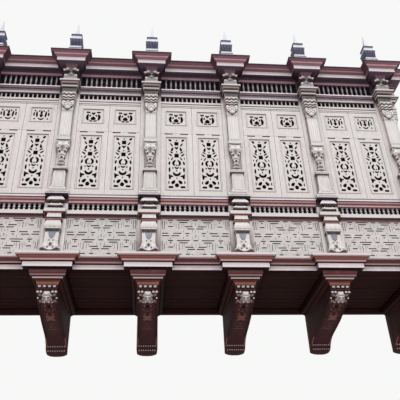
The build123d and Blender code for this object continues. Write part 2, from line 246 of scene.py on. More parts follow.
class Link:
    # wraps a socket, so that sums and products of values add Math nodes
    def __init__(self, tree, socket):
        self.tree = tree
        self.socket = socket

    def math(self, operation, *values):
        node = self.tree.nodes.new("ShaderNodeMath")
        node.operation = operation
        for place, value in enumerate(values):
            plug(self.tree, value, node.inputs[place])
        return Link(self.tree, node.outputs[0])

    def __abs__(self):
        return self.math("ABSOLUTE", self)

    def clamped(self):
        return self.math("MINIMUM", self.math("MAXIMUM", self, 0.0), 1.0)

    def step(self, low, high):
        # 0 below low, 1 above high, straight between them
        return ((self - low) * (1 / (high - low))).clamped()


# sums, differences and products, with the link on either side
for name, operation in (("add", "ADD"), ("sub", "SUBTRACT"), ("mul", "MULTIPLY")):
    setattr(Link, f"__{name}__", lambda link, other, kind=operation: link.math(kind, link, other))
    setattr(Link, f"__r{name}__", lambda link, other, kind=operation: link.math(kind, other, link))


class Finish:
    # a material around one Principled shader
    def __init__(self, name, roughness=0.5, specular=0.3):
        self.material = bpy.data.materials.new(name)
        self.material.use_nodes = True
        self.tree = self.material.node_tree
        self.tree.nodes.clear()
        out = self.tree.nodes.new("ShaderNodeOutputMaterial")
        self.shader = self.tree.nodes.new("ShaderNodeBsdfPrincipled")
        self.tree.links.new(self.shader.outputs[0], out.inputs[0])
        self.feed("Roughness", roughness)
        self.feed("Specular IOR Level", specular)

    def feed(self, name, value):
        plug(self.tree, value, self.shader.inputs[name])

    def node(self, kind, inputs=None, output=0, **settings):
        # a node of any kind: its settings first, then the values or links of its inputs
        made = self.tree.nodes.new("ShaderNode" + kind)
        for key, value in settings.items():
            setattr(made, key, value)
        for key, value in (inputs or {}).items():
            plug(self.tree, value, made.inputs[key])
        return Link(self.tree, made.outputs[output])

    def noise(self, place, scale, detail, roughness=0.5):
        inputs = {"Vector": place, "Scale": scale, "Detail": detail, "Roughness": roughness}
        return self.node("TexNoise", inputs)

    def axis(self, vector, number):
        return self.node("SeparateXYZ", {"Vector": vector}, number)

    def blend(self, factor, first, second, kind="MIX"):
        # colours through a Mix node
        first, second = (c if isinstance(c, Link) else (*c, 1) for c in (first, second))
        return self.node("Mix", {0: factor, 6: first, 7: second}, 2, data_type="RGBA", blend_type=kind)


def rgb(code):
    # a paint chart's hex code as linear light
    parts = [int(code[i:i + 2], 16) / 255 for i in (0, 2, 4)]
    return tuple(p / 12.92 if p <= 0.04045 else ((p + 0.055) / 1.055) ** 2.4 for p in parts)


woods = {
    # face, with the glare on the varnish painted in, its other tint, rubbed edges, painted shade on faces
    # turned down, painted shade on faces turned along the front, dark grain and painted shade in the hollows,
    # dust and painted highlight, painted shade under the cornice
    "pale": "dad1d1 d2cfcc e4dddc 6e4a4a b39d9c 2a1d22 f0eae9 a094a0",
    "lath": "d1c8c9 c9c5c3 ddd6d5 6e4a4a a99593 2a1d22 f0eae9 aca0ab",
    "fret": "dad0d0 d6d1cf e2dad9 937f7e b8a8a7 3c2d30 efe9e8 9c8d92",
    "red": "8e5046 804a42 ac7a70 7e463c 5e2c2b 2c1214 d0a69a a0808c",
    "crimson": "a07280 8f5e6a c49aa4 966a78 5a3444 2a1424 e4ccd4 ffffff",
    "bright": "ecdcdf e6d4d8 f8f0f2 9a7882 a88c98 5a3e4c fbf2f5 ffffff",
    "rose": "dca6ac d09aa2 e6bfc2 c49ca2 6a484e 4a2c30 ecdcdc ffffff",
    "mauve": "705a64 644e5a 968088 5a4450 4a3640 261620 c4b6bc ffffff",
    "plum": "40343e 382c38 5a4a56 4a3646 3a2a3a 1e121c 8a7888 ffffff",
    "dark": "362022 2a1718 503230 2e1a1a 221010 0c0505 a58a88 6a5a74",
    "corbel": "4e2f31 3e2528 704846 452a2b 2c1a1c 140a0b b47c74 ffffff",
    "dustedAndHighlit": "a88684 98767a d8c4c4 5a3638 6a4a4c 241012 efe6e6 ffffff",
    "capRed": "704048 5c303c a27478 54292f 2c1418 160809 c8a09c ffffff",
    "copper": "9a6048 845040 c49480 7a4434 4a2018 2a120c dab098 ffffff",
    "boards": "6e4f42 654a40 8a6b5a 3a2620 5a4036 1c1210 a08472 ffffff",
    "slate": "38345a 302c50 524e70 1e1a32 2c2848 100e1a 7d7a96 ffffff",
    "paleSlate": "dcdbe6 d0cfdc ececf2 a09db2 b4b2c4 5a5868 f2f2f6 ffffff",
    "blueLeaf": "8c909e 7e8490 a8acb6 5a5e6c 6a6e7c 2a2c36 c0c4cc ffffff",
}


def timber(name, wood, stretch, roughness=0.5, hollowShade=1.0, grainDepth=0.3, specular=0.3):
    # varnished wood: pale faces with the varnish's glare painted in, painted shade on faces turned down and
    # along the front, grain and painted shade in the hollows, and the tone attribute as painted highlight and
    # shade
    finish = Finish(name, roughness, specular)
    face, tint, worn, shadeUnder, side, darkGrainAndShade, dustAndHighlight, high = [rgb(code) for code in woods[wood].split()]
    place = finish.node("TexCoord", output=3)
    along = finish.node("Mapping", {"Vector": place, "Scale": stretch})
    grain = finish.noise(along, 7.0, 8.0, 0.62)
    cloud = finish.noise(place, 2.1, 3.0)
    blotch = finish.noise(place, 9.0, 3.0)
    speck = finish.noise(place, 45.0, 4.0)
    normal = finish.node("NewGeometry", output=1)
    across = abs(finish.axis(normal, 0)).step(0.55, 0.9)
    down = finish.axis(normal, 2) * -1.0
    height = finish.axis(place, 2)
    point = finish.node("NewGeometry", output=7)
    tone = finish.node("Attribute", output=2, attribute_name="tone")
    occlusionShade = finish.node("AmbientOcclusion", {"Distance": 0.07}, 1, samples=6)
    # the face colour has the glare of the varnish painted in
    colour = face
    for factor, over, *kind in (
        (cloud.step(0.4, 0.62), tint),
        (blotch.step(0.5, 0.8) * 0.7, worn),
        (grain.step(0.45, 0.78) * grainDepth, darkGrainAndShade),
        ((point - 0.5).step(0.03, 0.12) * 0.5, worn),
        # painted shade on faces turned along the front, then on faces turned down
        (across * (0.6 + grain * 0.6).clamped(), side),
        (down.step(0.12, 0.62) * (0.7 + grain * 0.5).clamped(), shadeUnder),
        # painted shade high up, under the cornice
        (height.step(3.35, 4.05), high, "MULTIPLY"),
        # dust and painted highlight where the tone is below 0
        ((tone * -1.0).clamped(), dustAndHighlight),
        # painted shade in the hollows, by pointiness and by ambient occlusion, and where the tone is above 0
        ((0.5 - point).step(0.004, 0.05) * (0.4 + speck * 0.7).clamped() * 0.8 * hollowShade, darkGrainAndShade),
        ((1.0 - occlusionShade).step(0.25, 0.85) * 0.8 * hollowShade, darkGrainAndShade),
        ((tone * (0.75 + speck * 0.5)).clamped(), darkGrainAndShade),
    ):
        colour = finish.blend(factor, colour, over, *kind)
    finish.feed("Base Color", colour)
    finish.feed("Roughness", (roughness - 0.12 + grain * 0.3).clamped())
    raised = finish.node("Bump", {"Strength": 0.25, "Distance": 0.002, "Height": grain + speck * 0.3})
    finish.feed("Normal", raised)
    return finish.material


# the way the grain runs: the long axis is the least stretched
upright, lying, deep = (9, 9, 0.9), (0.9, 9, 9), (9, 0.9, 9)
paleUpright = timber("pale_upright", "fret", upright, hollowShade=0.8)
paleLying = timber("pale_lying", "lath", lying)
carved = timber("carved_timber", "pale", upright, 0.45, hollowShade=0.85)
redTimber = timber("red_timber", "red", lying, 0.4)
corniceRed = timber("cornice_red", "crimson", lying, 0.4, hollowShade=0.8)
corniceBright = timber("cornice_bright", "bright", lying, 0.4, hollowShade=0.4, grainDepth=0.1)
roseLine = timber("rose_line", "rose", lying, 0.4, hollowShade=0.6, grainDepth=0.2)
# the red timber's colour in painted shade, for the frieze rails under the cornice
mauveShadedRed = timber("red_in_painted_shade", "mauve", lying, 0.45)
# dark plum timber, also used as painted shade on the pilasters' undercut courses and in the rails' grooves
plumAndShadeTimber = timber("plum_and_painted_shade", "plum", lying, 0.6, hollowShade=0.5, specular=0.15)
darkTimber = timber("dark_timber", "dark", deep, 0.7, specular=0.03)
corbelTimber = timber("corbel_timber", "corbel", deep, 0.6, specular=0.04)
# dust and painted highlight on the corbel's carved details
dustedAndHighlit = timber("dusted_highlit_carving", "dustedAndHighlit", upright, 0.6, specular=0.04)
capRed = timber("corbel_cap", "capRed", lying, 0.6, specular=0.0)
# copper-coloured painted glint, for the reflection in the corbel's cove
paintedGlintLine = timber("painted_glint_line", "copper", lying, 0.6, specular=0.04)
boardTimber = timber("plain_boards", "boards", lying, 0.7)
slatePaint = timber("slate_paint", "slate", upright)
paleSlate = timber("pale_slate", "paleSlate", upright, hollowShade=0.6, grainDepth=0.1)
blueLeaf = timber("blue_leaf", "blueLeaf", upright)


def makeShadeSheet():
    # a near-black sheet with a fine woven noise, standing as painted shade for the dark inside of the balcony
    finish = Finish("painted_shade_sheet", 0.95, 0.05)
    weave = finish.noise(finish.node("TexCoord", output=3), 220.0, 2.0)
    finish.feed("Base Color", finish.blend(weave, rgb("14141e"), rgb("2a2a38")))
    return finish.material


shadeSheetFinish = makeShadeSheet()
print("finishes ready")


# Mouldings carried round the plan

def planPath(forward, half):
    # corners of the outer plan line at the frame's face, from the left wall round to the right wall
    points = []
    for centre in centres[1:-1]:
        points += [(centre - half, 0), (centre - half, forward), (centre + half, forward), (centre + half, 0)]
    last = centres[-1]
    corner = [(last - half, 0), (last - half, forward)]
    if last + half < sideX + forward:
        corner += [(last + half, forward), (last + half, 0), (sideX + forward, 0)]
    else:
        corner += [(sideX + forward, forward)]
    front = [(x, screenY - y) for x, y in points + corner]
    sideEnd = sideCentreY + half
    end = [(sideX + forward, sideEnd), (sideX, sideEnd), (sideX, 0)]
    left = [(-x, y) for x, y in reversed([(x, screenY - y) for x, y in corner] + end)]
    return np.array(left + front + end)


def carried(path, section, low, high):
    # each section point stands off the path along both neighbouring normals, and the section closes
    # on the inner line, which takes the nearest point of the rectangle inside the frame
    steps = np.diff(path, axis=0)
    normals = np.stack([steps[:, 1], -steps[:, 0]], 1) / np.linalg.norm(steps, axis=1)[:, None]
    before = np.vstack([normals[:1], normals])
    after = np.vstack([normals, normals[-1:]])
    corner = (before + after) / (1 + (before * after).sum(1))[:, None]
    offsets, heights = np.array([s[:2] for s in section], float).T
    ring = path[:, None] + corner[:, None] * offsets[None, :, None]
    ring = np.dstack([ring, np.broadcast_to(heights, ring.shape[:2])])
    ring[[0, -1], :, 1] = 0
    inner = np.stack([np.clip(path[:, 0], -innerX, innerX), np.maximum(path[:, 1], innerY)], 1)
    first, last = (np.column_stack([inner, np.full(len(path), z)])[:, None] for z in (low, high))
    return np.concatenate([first, ring, last], 1)


def arcBetween(start, end, bulge, count=6):
    # points from start to end, pushed sideways by bulge times the sine of the way along
    t = np.linspace(0, 1, count)
    a, b = np.array(start, float), np.array(end, float)
    across = np.array([b[1] - a[1], a[0] - b[0]]) / np.linalg.norm(b - a)
    return [tuple(p) for p in a + (b - a) * t[:, None] + across * (bulge * np.sin(math.pi * t))[:, None]]


def sectionOf(*runs):
    # runs of (way out, height) points, each run with its finish and tone
    return [(x, z, number, tone) for points, number, tone in runs for x, z in points]


def roundMoulding(name, section, low, high, forward, half, below, shade, finishes):
    # the whole ring between two heights, breaking forward over each post by a half width, with painted shade
    # on the short returns, then cut at the corners into front, left and right
    path = planPath(forward, half)
    rings = withTone(carried(path, section, low, high))
    rings[:, :, 3] = [0] + [s[3] for s in section] + [0]
    rows, places = [], []
    for place, ring in enumerate(rings):
        places.append(len(rows))
        rows.append(ring)
        if place + 1 < len(path) and abs(np.linalg.norm(path[place + 1] - path[place]) - forward) < 1:
            for along in (0.03, 0.97):
                row = ring + (rings[place + 1] - ring) * along
                row[:, 3] = shade
                rows.append(row)
    rows = np.array(rows)
    numbers = np.array([below] + [s[2] for s in section] + [section[-1][2]])
    outer = np.abs(np.abs(path[:, 0]) - np.abs(path[:, 0]).max()) < 1
    cuts = np.flatnonzero(outer & (path[:, 1] < screenY + 1))
    left, right = places[cuts[0]], places[cuts[-1]]
    for side, start, stop in (("left", 0, left), ("front", left, right), ("right", right, len(rows) - 1)):
        part = grid(rows[start:stop + 1], finish=numbers[None])
        inPlaceOf(f"{name}_{side}", part, finishes, slot="red_timber")


baseSection = sectionOf(
    ([(42, 0), (42, 70)], 4, 0),
    ([(48, 73), (52, 82), (66, 84)], 2, 0),
    ([(70, 86), (78, 106)], 3, 0),
    ([(80, 109)] + arcBetween((81, 111), (104, 146), 5), 1, 0),
    ([(106, 149), (112, 151)], 2, 0),
    ([(114, 152), (136, 160)], 3, 0),
    ([(142, 163), (142, 190), (136, baseTop)], 0, 0),
)
roundMoulding("base_moulding", baseSection, 0, baseTop, forward=110, half=311, below=2, shade=0.7,
              finishes=[paleLying, redTimber, darkTimber, roseLine, corniceBright])

corniceSection = sectionOf(
    ([(86, 4038), (86, 4113)], 2, -0.3),
    ([(88, 4116), (100, 4120)] + arcBetween((102, 4122), (128, 4142), -4, 5), 1, 0),
    ([(132, 4144), (136, 4171)], 3, -0.1),
    ([(140, 4173), (152, 4174), (184, 4182)], 1, 0.1),
    ([(194, 4185), (196, 4188), (196, corniceTop - 4), (190, corniceTop)], 0, 0.45),
)
roundMoulding("cornice", corniceSection, friezeTop - 40, corniceTop, forward=200, half=164, below=0,
              shade=0.75, finishes=[plumAndShadeTimber, corniceRed, corniceBright, roseLine])
print("mouldings made")


# Pilasters: courses of square-planned mouldings, then carving raised on the front and the sides

# bottom, half width there and at the top, projection there and at the top, swell, rows, finish
# finish 2, the dark plum timber, stands as painted shade on the undercut courses
pilasterCourses = [
    (197, 96, 96, 34, 40, 0, 3, 0), (262, 112, 138, 70, 118, 0, 4, 0),
    (276, 146, 148, 124, 126, 3, 10, 0), (312, 146, 124, 124, 106, 0, 8, 0),
    (345, 122, 101, 104, 88, -5, 24, 0), (450, 100, 106, 86, 76, -2, 34, 0),
    (604, 112, 116, 78, 86, 0, 8, 0), (652, 124, 104, 98, 90, 13, 22, 0),
    (790, 106, 104, 84, 82, 0, 3, 0), (812, 126, 128, 86, 88, 3, 5, 1), (838, 106, 108, 78, 80, 0, 2, 2),
    (864, 112, 100, 84, 74, 0, 10, 0), (940, 104, 156, 76, 90, 0, 3, 1), (964, 164, 164, 93, 93, 0, 5, 0),
    (1022, 118, 116, 86, 84, 0, 5, 2), (1058, 108, 104, 84, 84, 12, 8, 0),
    (1100, 92, 64, 80, 74, -8, 10, 0), (1168, 138, 88, 104, 86, 6, 12, 0),
    (1238, 82, 90, 80, 84, 0, 3, 2), (1270, 150, 176, 104, 118, 0, 2, 2),
    (1280, 177, 177, 118, 118, 0, 2, 0), (1300, 172, 172, 114, 114, 0, 1, 1),
    (1308, 175, 172, 117, 114, 0, 3, 0), (1344, 150, 128, 104, 94, 0, 2, 0),
    (1360, 120, 120, 88, 88, 0, 1, 0), (1370, 128, 126, 94, 92, 0, 3, 0),
    (1412, 118, 108, 88, 82, 0, 2, 0), (1424, 106, 102, 80, 76, 0, 3, 0),
    (1462, 100, 97, 73, 72, 0, 22, 0), (1742, 102, 104, 74, 76, 0, 4, 0),
    (1776, 118, 119, 88, 89, 0, 3, 0), (1794, 113, 113, 84, 84, 0, 1, 0),
    (1800, 118, 116, 88, 86, 0, 2, 0), (1816, 108, 84, 78, 60, 0, 3, 0), (1836, 76, 58, 56, 50, 0, 6, 0),
    (1868, 60, 62, 66, 66, 2, 6, 0), (1890, 50, 46, 50, 50, 0, 6, 0), (1930, 46, 50, 62, 62, 3, 6, 0),
    (1956, 40, 34, 50, 52, 0, 8, 0), (1996, 30, 50, 54, 58, 4, 14, 0), (2056, 50, 66, 58, 64, 0, 18, 0),
    (2134, 66, 104, 64, 76, -3, 26, 0), (2245, 104, 106, 76, 82, 0, 22, 0),
    (2346, 104, 106, 80, 84, 0, 6, 0), (2372, 110, 110, 92, 92, 0, 6, 0),
    (2410, 108, 104, 90, 84, 0, 8, 0), (2452, 92, 92, 58, 60, 0, 14, 0), (3045, 92, 92, 62, 96, 0, 86, 0),
    (3432, 117, 121, 84, 92, 0, 16, 0), (3534, 134, 134, 116, 116, 10, 12, 0),
    (3594, 112, 112, 100, 100, 0, 1, 2), (3602, 124, 164, 108, 176, -6, 8, 0),
    (3640, 175, 175, 190, 190, 0, 4, 0), (3674, 168, 148, 184, 166, 0, 3, 0),
    (3690, 132, 118, 158, 148, -6, 8, 0), (3764, 114, 108, 150, 146, 3, 8, 0),
    (3828, 74, 62, 118, 116, -6, 14, 0), (3896, 136, 146, 156, 166, 0, 2, 0),
    (3906, 146, 88, 168, 150, -8, 14, 0), (3986, 92, 124, 156, 206, -6, 14, 4),
]
pilasterTop = 4052


def courseRows(courses, last):
    # each course runs up to the next with straight sides plus swell times the sine of the way up
    rows = []
    tops = [course[0] for course in courses[1:]] + [last]
    for (bottom, half, halfTop, reach, reachTop, swell, steps, finish), top in zip(courses, tops):
        t = np.linspace(0, 1, steps + 1)
        bulge = swell * np.sin(math.pi * t)
        rows.append(np.stack([
            bottom + (top - bottom) * t, half + (halfTop - half) * t + bulge,
            reach + (reachTop - reach) * t + bulge, np.full(steps + 1, finish),
        ], 1))
    return np.concatenate(rows)


def shieldHalf(z):
    # outline of the leaf shield under the capital: straight sides that round in to a point
    return np.interp(z, [3045, 3056, 3092, 3110, 3150, 3200, 3260, 3440], [4, 18, 66, 78, 100, 112, 118, 121])

def footLeafHalf(z):
    # outline of the leaf that hangs in the hollow of the foot
    return np.interp(z, [486, 525, 590], [3, 38, 52])


def bump(x, z, cx, cz, rx, rz):
    # a round hill: 1 at its centre, falling as the exponential of the squared distance
    return np.exp(-((x - cx) / rx) ** 2 - ((z - cz) / rz) ** 2)


def spot(x, z, cx, cz, rx, rz):
    # a flat-topped mark, 1 inside its oval and 0 outside, with a soft rim
    away = ((x - cx) / rx) ** 2 + ((z - cz) / rz) ** 2
    return np.exp(-away ** 2)


def stroke(x, z, half, at, thick, bend):
    # a level mark of a given half width, bent up at its ends by bend
    rise = z - at - bend * (x / half) ** 2
    return np.exp(-(rise / (thick / 2)) ** 4) * np.clip((half - np.abs(x)) / 5, 0, 1)


def band(z, low, high, soft):
    # 1 between two heights, with soft ends
    return np.clip((z - low) / soft, 0, 1) * np.clip((high - z) / soft, 0, 1)


# Marks on a pilaster, the same on both sides: way across, height, half width, half height, raise, tone (above
# 0 painted shade, below 0 painted highlight)
pilasterSpots = [
    # scroll foot: lower lip, volutes with painted shade in their eyes and painted highlight on their tops,
    # bud in painted shade
    (0, 284, 34, 9, 8, -1.0), (106, 298, 42, 15, 10, 0.95), (58, 286, 22, 9, 4, 0.7),
    (106, 322, 40, 10, 16, -0.6), (0, 384, 27, 42, 10, 1.0), (40, 330, 16, 22, -8, 1.0),
    (62, 366, 12, 24, 10, -0.6), (30, 458, 14, 12, -6, 0.95), (104, 336, 26, 12, -6, 0.8),
    # pendant: boss with four hollows darkened by painted shade, a lip and flanks paler by painted highlight,
    # and a drop
    (0, 2226, 38, 40, 10, 0.72), (70, 2197, 15, 15, -9, 0.95), (44, 2134, 19, 26, -12, 1.0),
    (0, 2180, 22, 26, 12, 0.35), (0, 2090, 38, 12, 14, -1.0), (0, 2024, 20, 22, 10, 1.0),
    (38, 2056, 15, 18, 0, 0.45), (0, 2058, 26, 12, 4, 0.35), (0, 1983, 30, 9, 6, -0.9),
    (46, 2284, 34, 26, 8, -0.8), (92, 2300, 10, 40, -5, 0.55), (84, 2262, 12, 18, 6, -0.6),
    (0, 1846, 22, 15, 0, 0.5),
    # leaf shield: end lobes, tongue and its tip
    (62, 3102, 15, 13, -8, 0.95), (0, 3096, 20, 28, 12, -0.9), (0, 3052, 12, 7, 0, 0.9),
    (34, 3150, 14, 18, 8, -0.8), (84, 3160, 16, 22, 8, -0.7), (60, 3200, 16, 14, 8, -0.8),
    (0, 3170, 12, 14, 8, -0.6), (0, 3215, 10, 10, -8, 0.8), (34, 3196, 9, 8, -6, 0.75),
    (58, 3150, 8, 9, -6, 0.7),
    # capital: stem, hollows beside it in painted shade, painted highlights on the tops of the volutes
    (0, 3864, 24, 40, 14, -0.7), (50, 3860, 15, 26, -8, 0.95), (62, 3958, 30, 24, 12, -1.0),
    (0, 3932, 14, 24, 8, 0.4), (104, 3930, 30, 16, 8, -0.8), (0, 3800, 56, 17, -4, 0.9),
    (96, 3800, 20, 20, 6, -0.8),
]

# Level marks: half width, height, thickness, rise of the ends, tone (above 0 painted shade under ledges,
# below 0 painted highlight)
pilasterStrokes = [
    (112, 628, 48, 0, 0.95), (120, 662, 16, 4, -0.7), (60, 486, 7, 0, 0.3), (84, 1416, 9, 0, 0.8),
    (150, 1318, 7, 0, 0.6), (120, 1366, 8, 0, 0.55), (168, 1276, 10, 0, 0.6), (104, 1758, 30, 0, 0.95),
    (112, 1796, 8, 0, 0.5), (44, 1943, 22, 6, 0.95), (62, 1880, 20, 12, 0.85), (104, 2358, 18, 10, 0.92),
    (106, 2446, 9, -20, 0.62), (86, 1146, 44, 6, 0.7), (96, 1126, 14, 16, 0.5), (116, 1078, 20, 12, -0.8),
    (126, 1186, 22, 14, -0.6), (116, 1040, 30, 4, 0.9), (96, 1212, 9, 8, 0.35), (118, 3484, 96, 0, 0.72),
    (134, 3572, 26, 0, -1.0), (150, 3628, 12, 0, -0.5), (134, 3538, 12, 0, 0.6), (172, 3660, 18, 0, -0.7),
    (124, 3608, 10, 0, 0.3),
]


carvingValues = {
    "grooves": (22, 55, 80),  # ways across of the shaft's reeds
    "shaft": (2470, 3040),
    "shield": (3045, 3436),
    "shieldLines": (3366, 3298, 3250),  # heights of the dark wavy lines
    "shieldSwags": (3408, 3330, 3274),  # and of the pale swags between them
    "flutes": (3992, 4048, 6),
}


def carving(x, z):
    # millimetres raised on a pilaster and the tone of painted shade and highlight there, from the marks and a
    # few repeated patterns
    v = carvingValues
    side = np.abs(x)
    raised = np.zeros_like(x + z)
    tone = np.zeros_like(raised)
    for cx, cz, rx, rz, height, shade in pilasterSpots:
        mark = spot(side, z, cx, cz, rx, rz)
        raised += height * mark
        tone += shade * mark
    for half, at, thick, rise, shade in pilasterStrokes:
        mark = stroke(x, z, half, at, thick, rise)
        raised -= 3 * shade * mark
        tone += shade * mark
    # hanging leaf of the foot
    raised += 9 * np.clip((footLeafHalf(z) - side) / 6, 0, 1) * band(z, 486, 600, 10)
    # lobes round the cushion and reeds of the two rolls
    raised += 4 * band(z, 672, 780, 12) * np.abs(np.sin(side / 22))
    reeds = 3 * band(z, 1062, 1098, 8) * np.abs(np.sin(x / 9))
    raised += reeds + 3 * band(z, 1104, 1166, 8) * np.sin(x / 7 + z / 9)
    # sunk panel of the pedestal
    raised -= 5 * band(z, 1480, 1726, 4) * np.clip((70 - side) / 4, 0, 1)
    # painted shade in two legs under the pedestal's cap
    tone += 0.9 * spot(side, z, 100, 1735, 12, 40) * (z < 1776)
    # two shallow grooves each side of the shaft, with painted shade in them
    for at in v["grooves"]:
        groove = np.exp(-((side - at) / 3.5) ** 2) * band(z, *v["shaft"], 14)
        raised -= 3 * groove
        tone += 0.22 * groove
    # scallops of the leaf shield: wavy lines in painted shade between swags in painted highlight
    inside = np.clip((shieldHalf(z) - side) / 5, 0, 1) * band(z, *v["shield"], 6)
    wave = 11 * np.cos(side / 40 * math.pi)
    for at in v["shieldLines"]:
        line = np.exp(-((z - at - wave) / 11) ** 2) * inside
        raised -= 11 * line
        tone += 1.4 * line * np.clip((side - 6) / 14, 0.2, 1)
    for at in v["shieldSwags"]:
        swag = np.exp(-((z - at - wave) / 16) ** 2) * inside
        raised += 10 * swag
        tone -= 0.7 * swag
    # painted shade along the shield's edge
    tone += 0.5 * np.exp(-((side - shieldHalf(z) + 3) / 5) ** 2) * band(z, 3045, 3432, 6)
    raised += 16 * inside
    # shaft paler, neck between the two rolls in painted shade, fluted block over the volutes darkened by
    # painted shade, less on the flutes
    tone -= 0.4 * band(z, 2456, 3040, 10)
    tone += 0.7 * band(z, 1108, 1162, 12) * np.clip((70 - side) / 12, 0, 1)
    block = band(z, *v["flutes"])
    flutes = np.abs(np.sin(x / 15)) * block
    raised += 5 * flutes
    tone += 0.75 * (1 - 0.6 * flutes) * block
    # grey freckles in the dark band over the shield
    raised += 4 * band(z, 3440, 3530, 8) * np.sin(x / 8) * np.sin(z / 9)
    return raised, np.clip(tone, -1, 1)


def pilasterStack(columns=40, sideColumns=6):
    # courses across the front and in along both sides, with the carving laid over them
    z, half, reach, courseFinish = courseRows(pilasterCourses, pilasterTop).T[:, :, None]
    half = np.where((z > 3045) & (z <= 3432), np.maximum(half, shieldHalf(z)), half)
    across = np.linspace(-1, 1, columns)[None]
    fade = np.clip((1 - np.abs(across)) * 14, 0, 1)
    frontX = half * across
    raised, tone = carving(frontX, z)
    frontY = -reach - raised * fade
    inward = np.linspace(0, 1, sideColumns)[None]
    sideY = 12 - (reach + 12) * inward
    sideRaise, sideTone = carving(reach * (inward - 0.5) * 2, z)
    sideRaise = 0.4 * sideRaise * np.clip(4 * inward * (1 - inward), 0, 1)
    flatX = half + sideRaise
    left = np.stack([-flatX, sideY, z + 0 * inward, sideTone], -1)[:, :-1]
    front = np.stack([frontX, frontY, z + 0 * across, tone], -1)
    right = np.stack([flatX, sideY, z + 0 * inward, sideTone], -1)[:, ::-1][:, 1:]
    points = np.concatenate([left, front, right], 1)
    # each course's own finish, and the blue of the foot's leaf
    finish = np.repeat(courseFinish[1:].astype(int), points.shape[1], 1)
    x, y, z = points[:-1, :, 0], points[:-1, :, 1], z[:-1]
    finish[(np.abs(x) < footLeafHalf(z)) & (z > 488) & (z < 600) & (y < -60)] = 3
    return grid(points, finish=finish)


def curl(radius, turns, thick, steps=26):
    # a flat spiral scroll: a tube whose middle line winds inwards, paler by a painted highlight
    s = np.linspace(0, 1, steps)[:, None]
    a = np.linspace(0, 2 * math.pi, 6, endpoint=False)[None]
    angle = turns * 2 * math.pi * s
    middle = radius * (1 - 0.8 * s)
    girth = thick * (1 - 0.5 * s)
    r = middle + girth * np.cos(a)
    return grid(np.stack([r * np.cos(angle), -girth * np.sin(a) - 4, r * np.sin(angle), -0.8 + 0 * r], -1))


scroll = moved(curl(20, 1.6, 9), x=116, y=-160, z=3912)
stack = joined([pilasterStack(), scroll, mirrored(scroll)])
# heights and tones on the posts: painted shade under the sill's blocks and in the frieze under the cornice
postStations = [
    (868, 0.0), (884, 0.95), (950, 0.95), (966, 0.1), (1150, 0.0), (1170, 0.95), (1276, 0.95), (1290, 0.1),
    (3330, 0.0), (3440, 0.5), (3520, 0.9), (3600, 0.95), (4070, 0.95),
]
quarter = {1: [[0, -1, 0], [1, 0, 0], [0, 0, 1]], -1: [[0, 1, 0], [-1, 0, 0], [0, 0, 1]]}
postValues = {"coreHalf": 98, "edgeInner": 96, "cornerReach": 150}


def post(xa, xb, y0, y1, stations=postStations):
    # a square length of timber behind the carving
    return board(*sorted((xa, xb)), y0, y1, baseTop, friezeTop, stations=stations)


pilasterFinishes = [carved, redTimber, plumAndShadeTimber, blueLeaf, corniceRed]
pilasters = []
for place, centre in enumerate(centres):
    sign = {0: -1, 5: 1}.get(place, 0)
    parts = [moved(stack, x=centre, y=screenY)]
    if sign == 0:
        for side in (-1, 1):
            edge, end = centre + side * postValues["edgeInner"], centre + side * (postHalf - gap)
            parts.append(post(edge, end, screenY - 4, innerY))
        core = postValues["coreHalf"]
        parts.append(post(centre - core, centre + core, screenY + 2, innerY, ()))
    else:
        reach = postHalf + postValues["cornerReach"] - gap
        parts += [
            moved(turned(stack, quarter[sign]), x=sign * sideX, y=sideCentreY),
            post(sign * sideX, sign * (sideX - reach), screenY, innerY),
            post(sign * sideX, sign * innerX, innerY, screenY + reach),
        ]
    pilasters.append(joined(parts))
numbered("pilaster", pilasters, pilasterFinishes, smooth=45, slot="carved_timber")
print("pilasters made")


# Boards pierced by fretwork

def readBack(holder, key, width, kind):
    values = np.zeros(len(holder) * width, kind)
    holder.foreach_get(key, values)
    return values


def pierced(outline, holes, front, thickness, bevel):
    # a flat curve filled between its outline and its holes, given a thickness and read back as a shape
    curve = bpy.data.curves.new("fret", "CURVE")
    curve.dimensions = "2D"
    curve.fill_mode = "BOTH"
    curve.extrude = thickness / 2 - bevel
    curve.bevel_depth = bevel
    curve.bevel_resolution = 0
    curve.offset = -bevel
    for loop in [outline, *holes]:
        spline = curve.splines.new("POLY")
        spline.points.add(len(loop) - 1)
        flat = np.column_stack([loop, np.zeros(len(loop)), np.ones(len(loop))])
        spline.points.foreach_set("co", flat.ravel())
        spline.use_cyclic_u = True
    holder = bpy.data.objects.new("fret", curve)
    mesh = bpy.data.meshes.new_from_object(holder)
    x, z, out = readBack(mesh.vertices, "co", 3, np.float32).reshape(-1, 3).astype(float).T
    loops = readBack(mesh.loops, "vertex_index", 1, np.int32)
    sizes = readBack(mesh.polygons, "loop_total", 1, np.int32)
    bpy.data.meshes.remove(mesh)
    bpy.data.objects.remove(holder)
    bpy.data.curves.remove(curve)
    placed = np.stack([x, front + thickness / 2 - out, z], 1)
    return withTone(placed), loops.astype(int), sizes.astype(int), np.zeros(len(sizes), int)


def rectangle(x0, x1, z0, z1):
    return np.array([(x0, z0), (x1, z0), (x1, z1), (x0, z1)], float)


def slotHole(x0, x1, z, height):
    # a straight slot with rounded ends
    r = height / 2
    turn = np.linspace(-math.pi / 2, math.pi / 2, 4)
    right = np.column_stack([x1 - r + r * np.cos(turn), z + r * np.sin(turn)])
    left = np.column_stack([x0 + r - r * np.cos(turn), z - r * np.sin(turn)])
    return np.vstack([right, left])


latticeValues = {
    "slotHeight": 16,
    "uprightWidth": 8,
    "slitWidth": 4,
    "firstRow": 884,  # height of the top row of slots
    "period": 361,
    "thickness": 30,
}


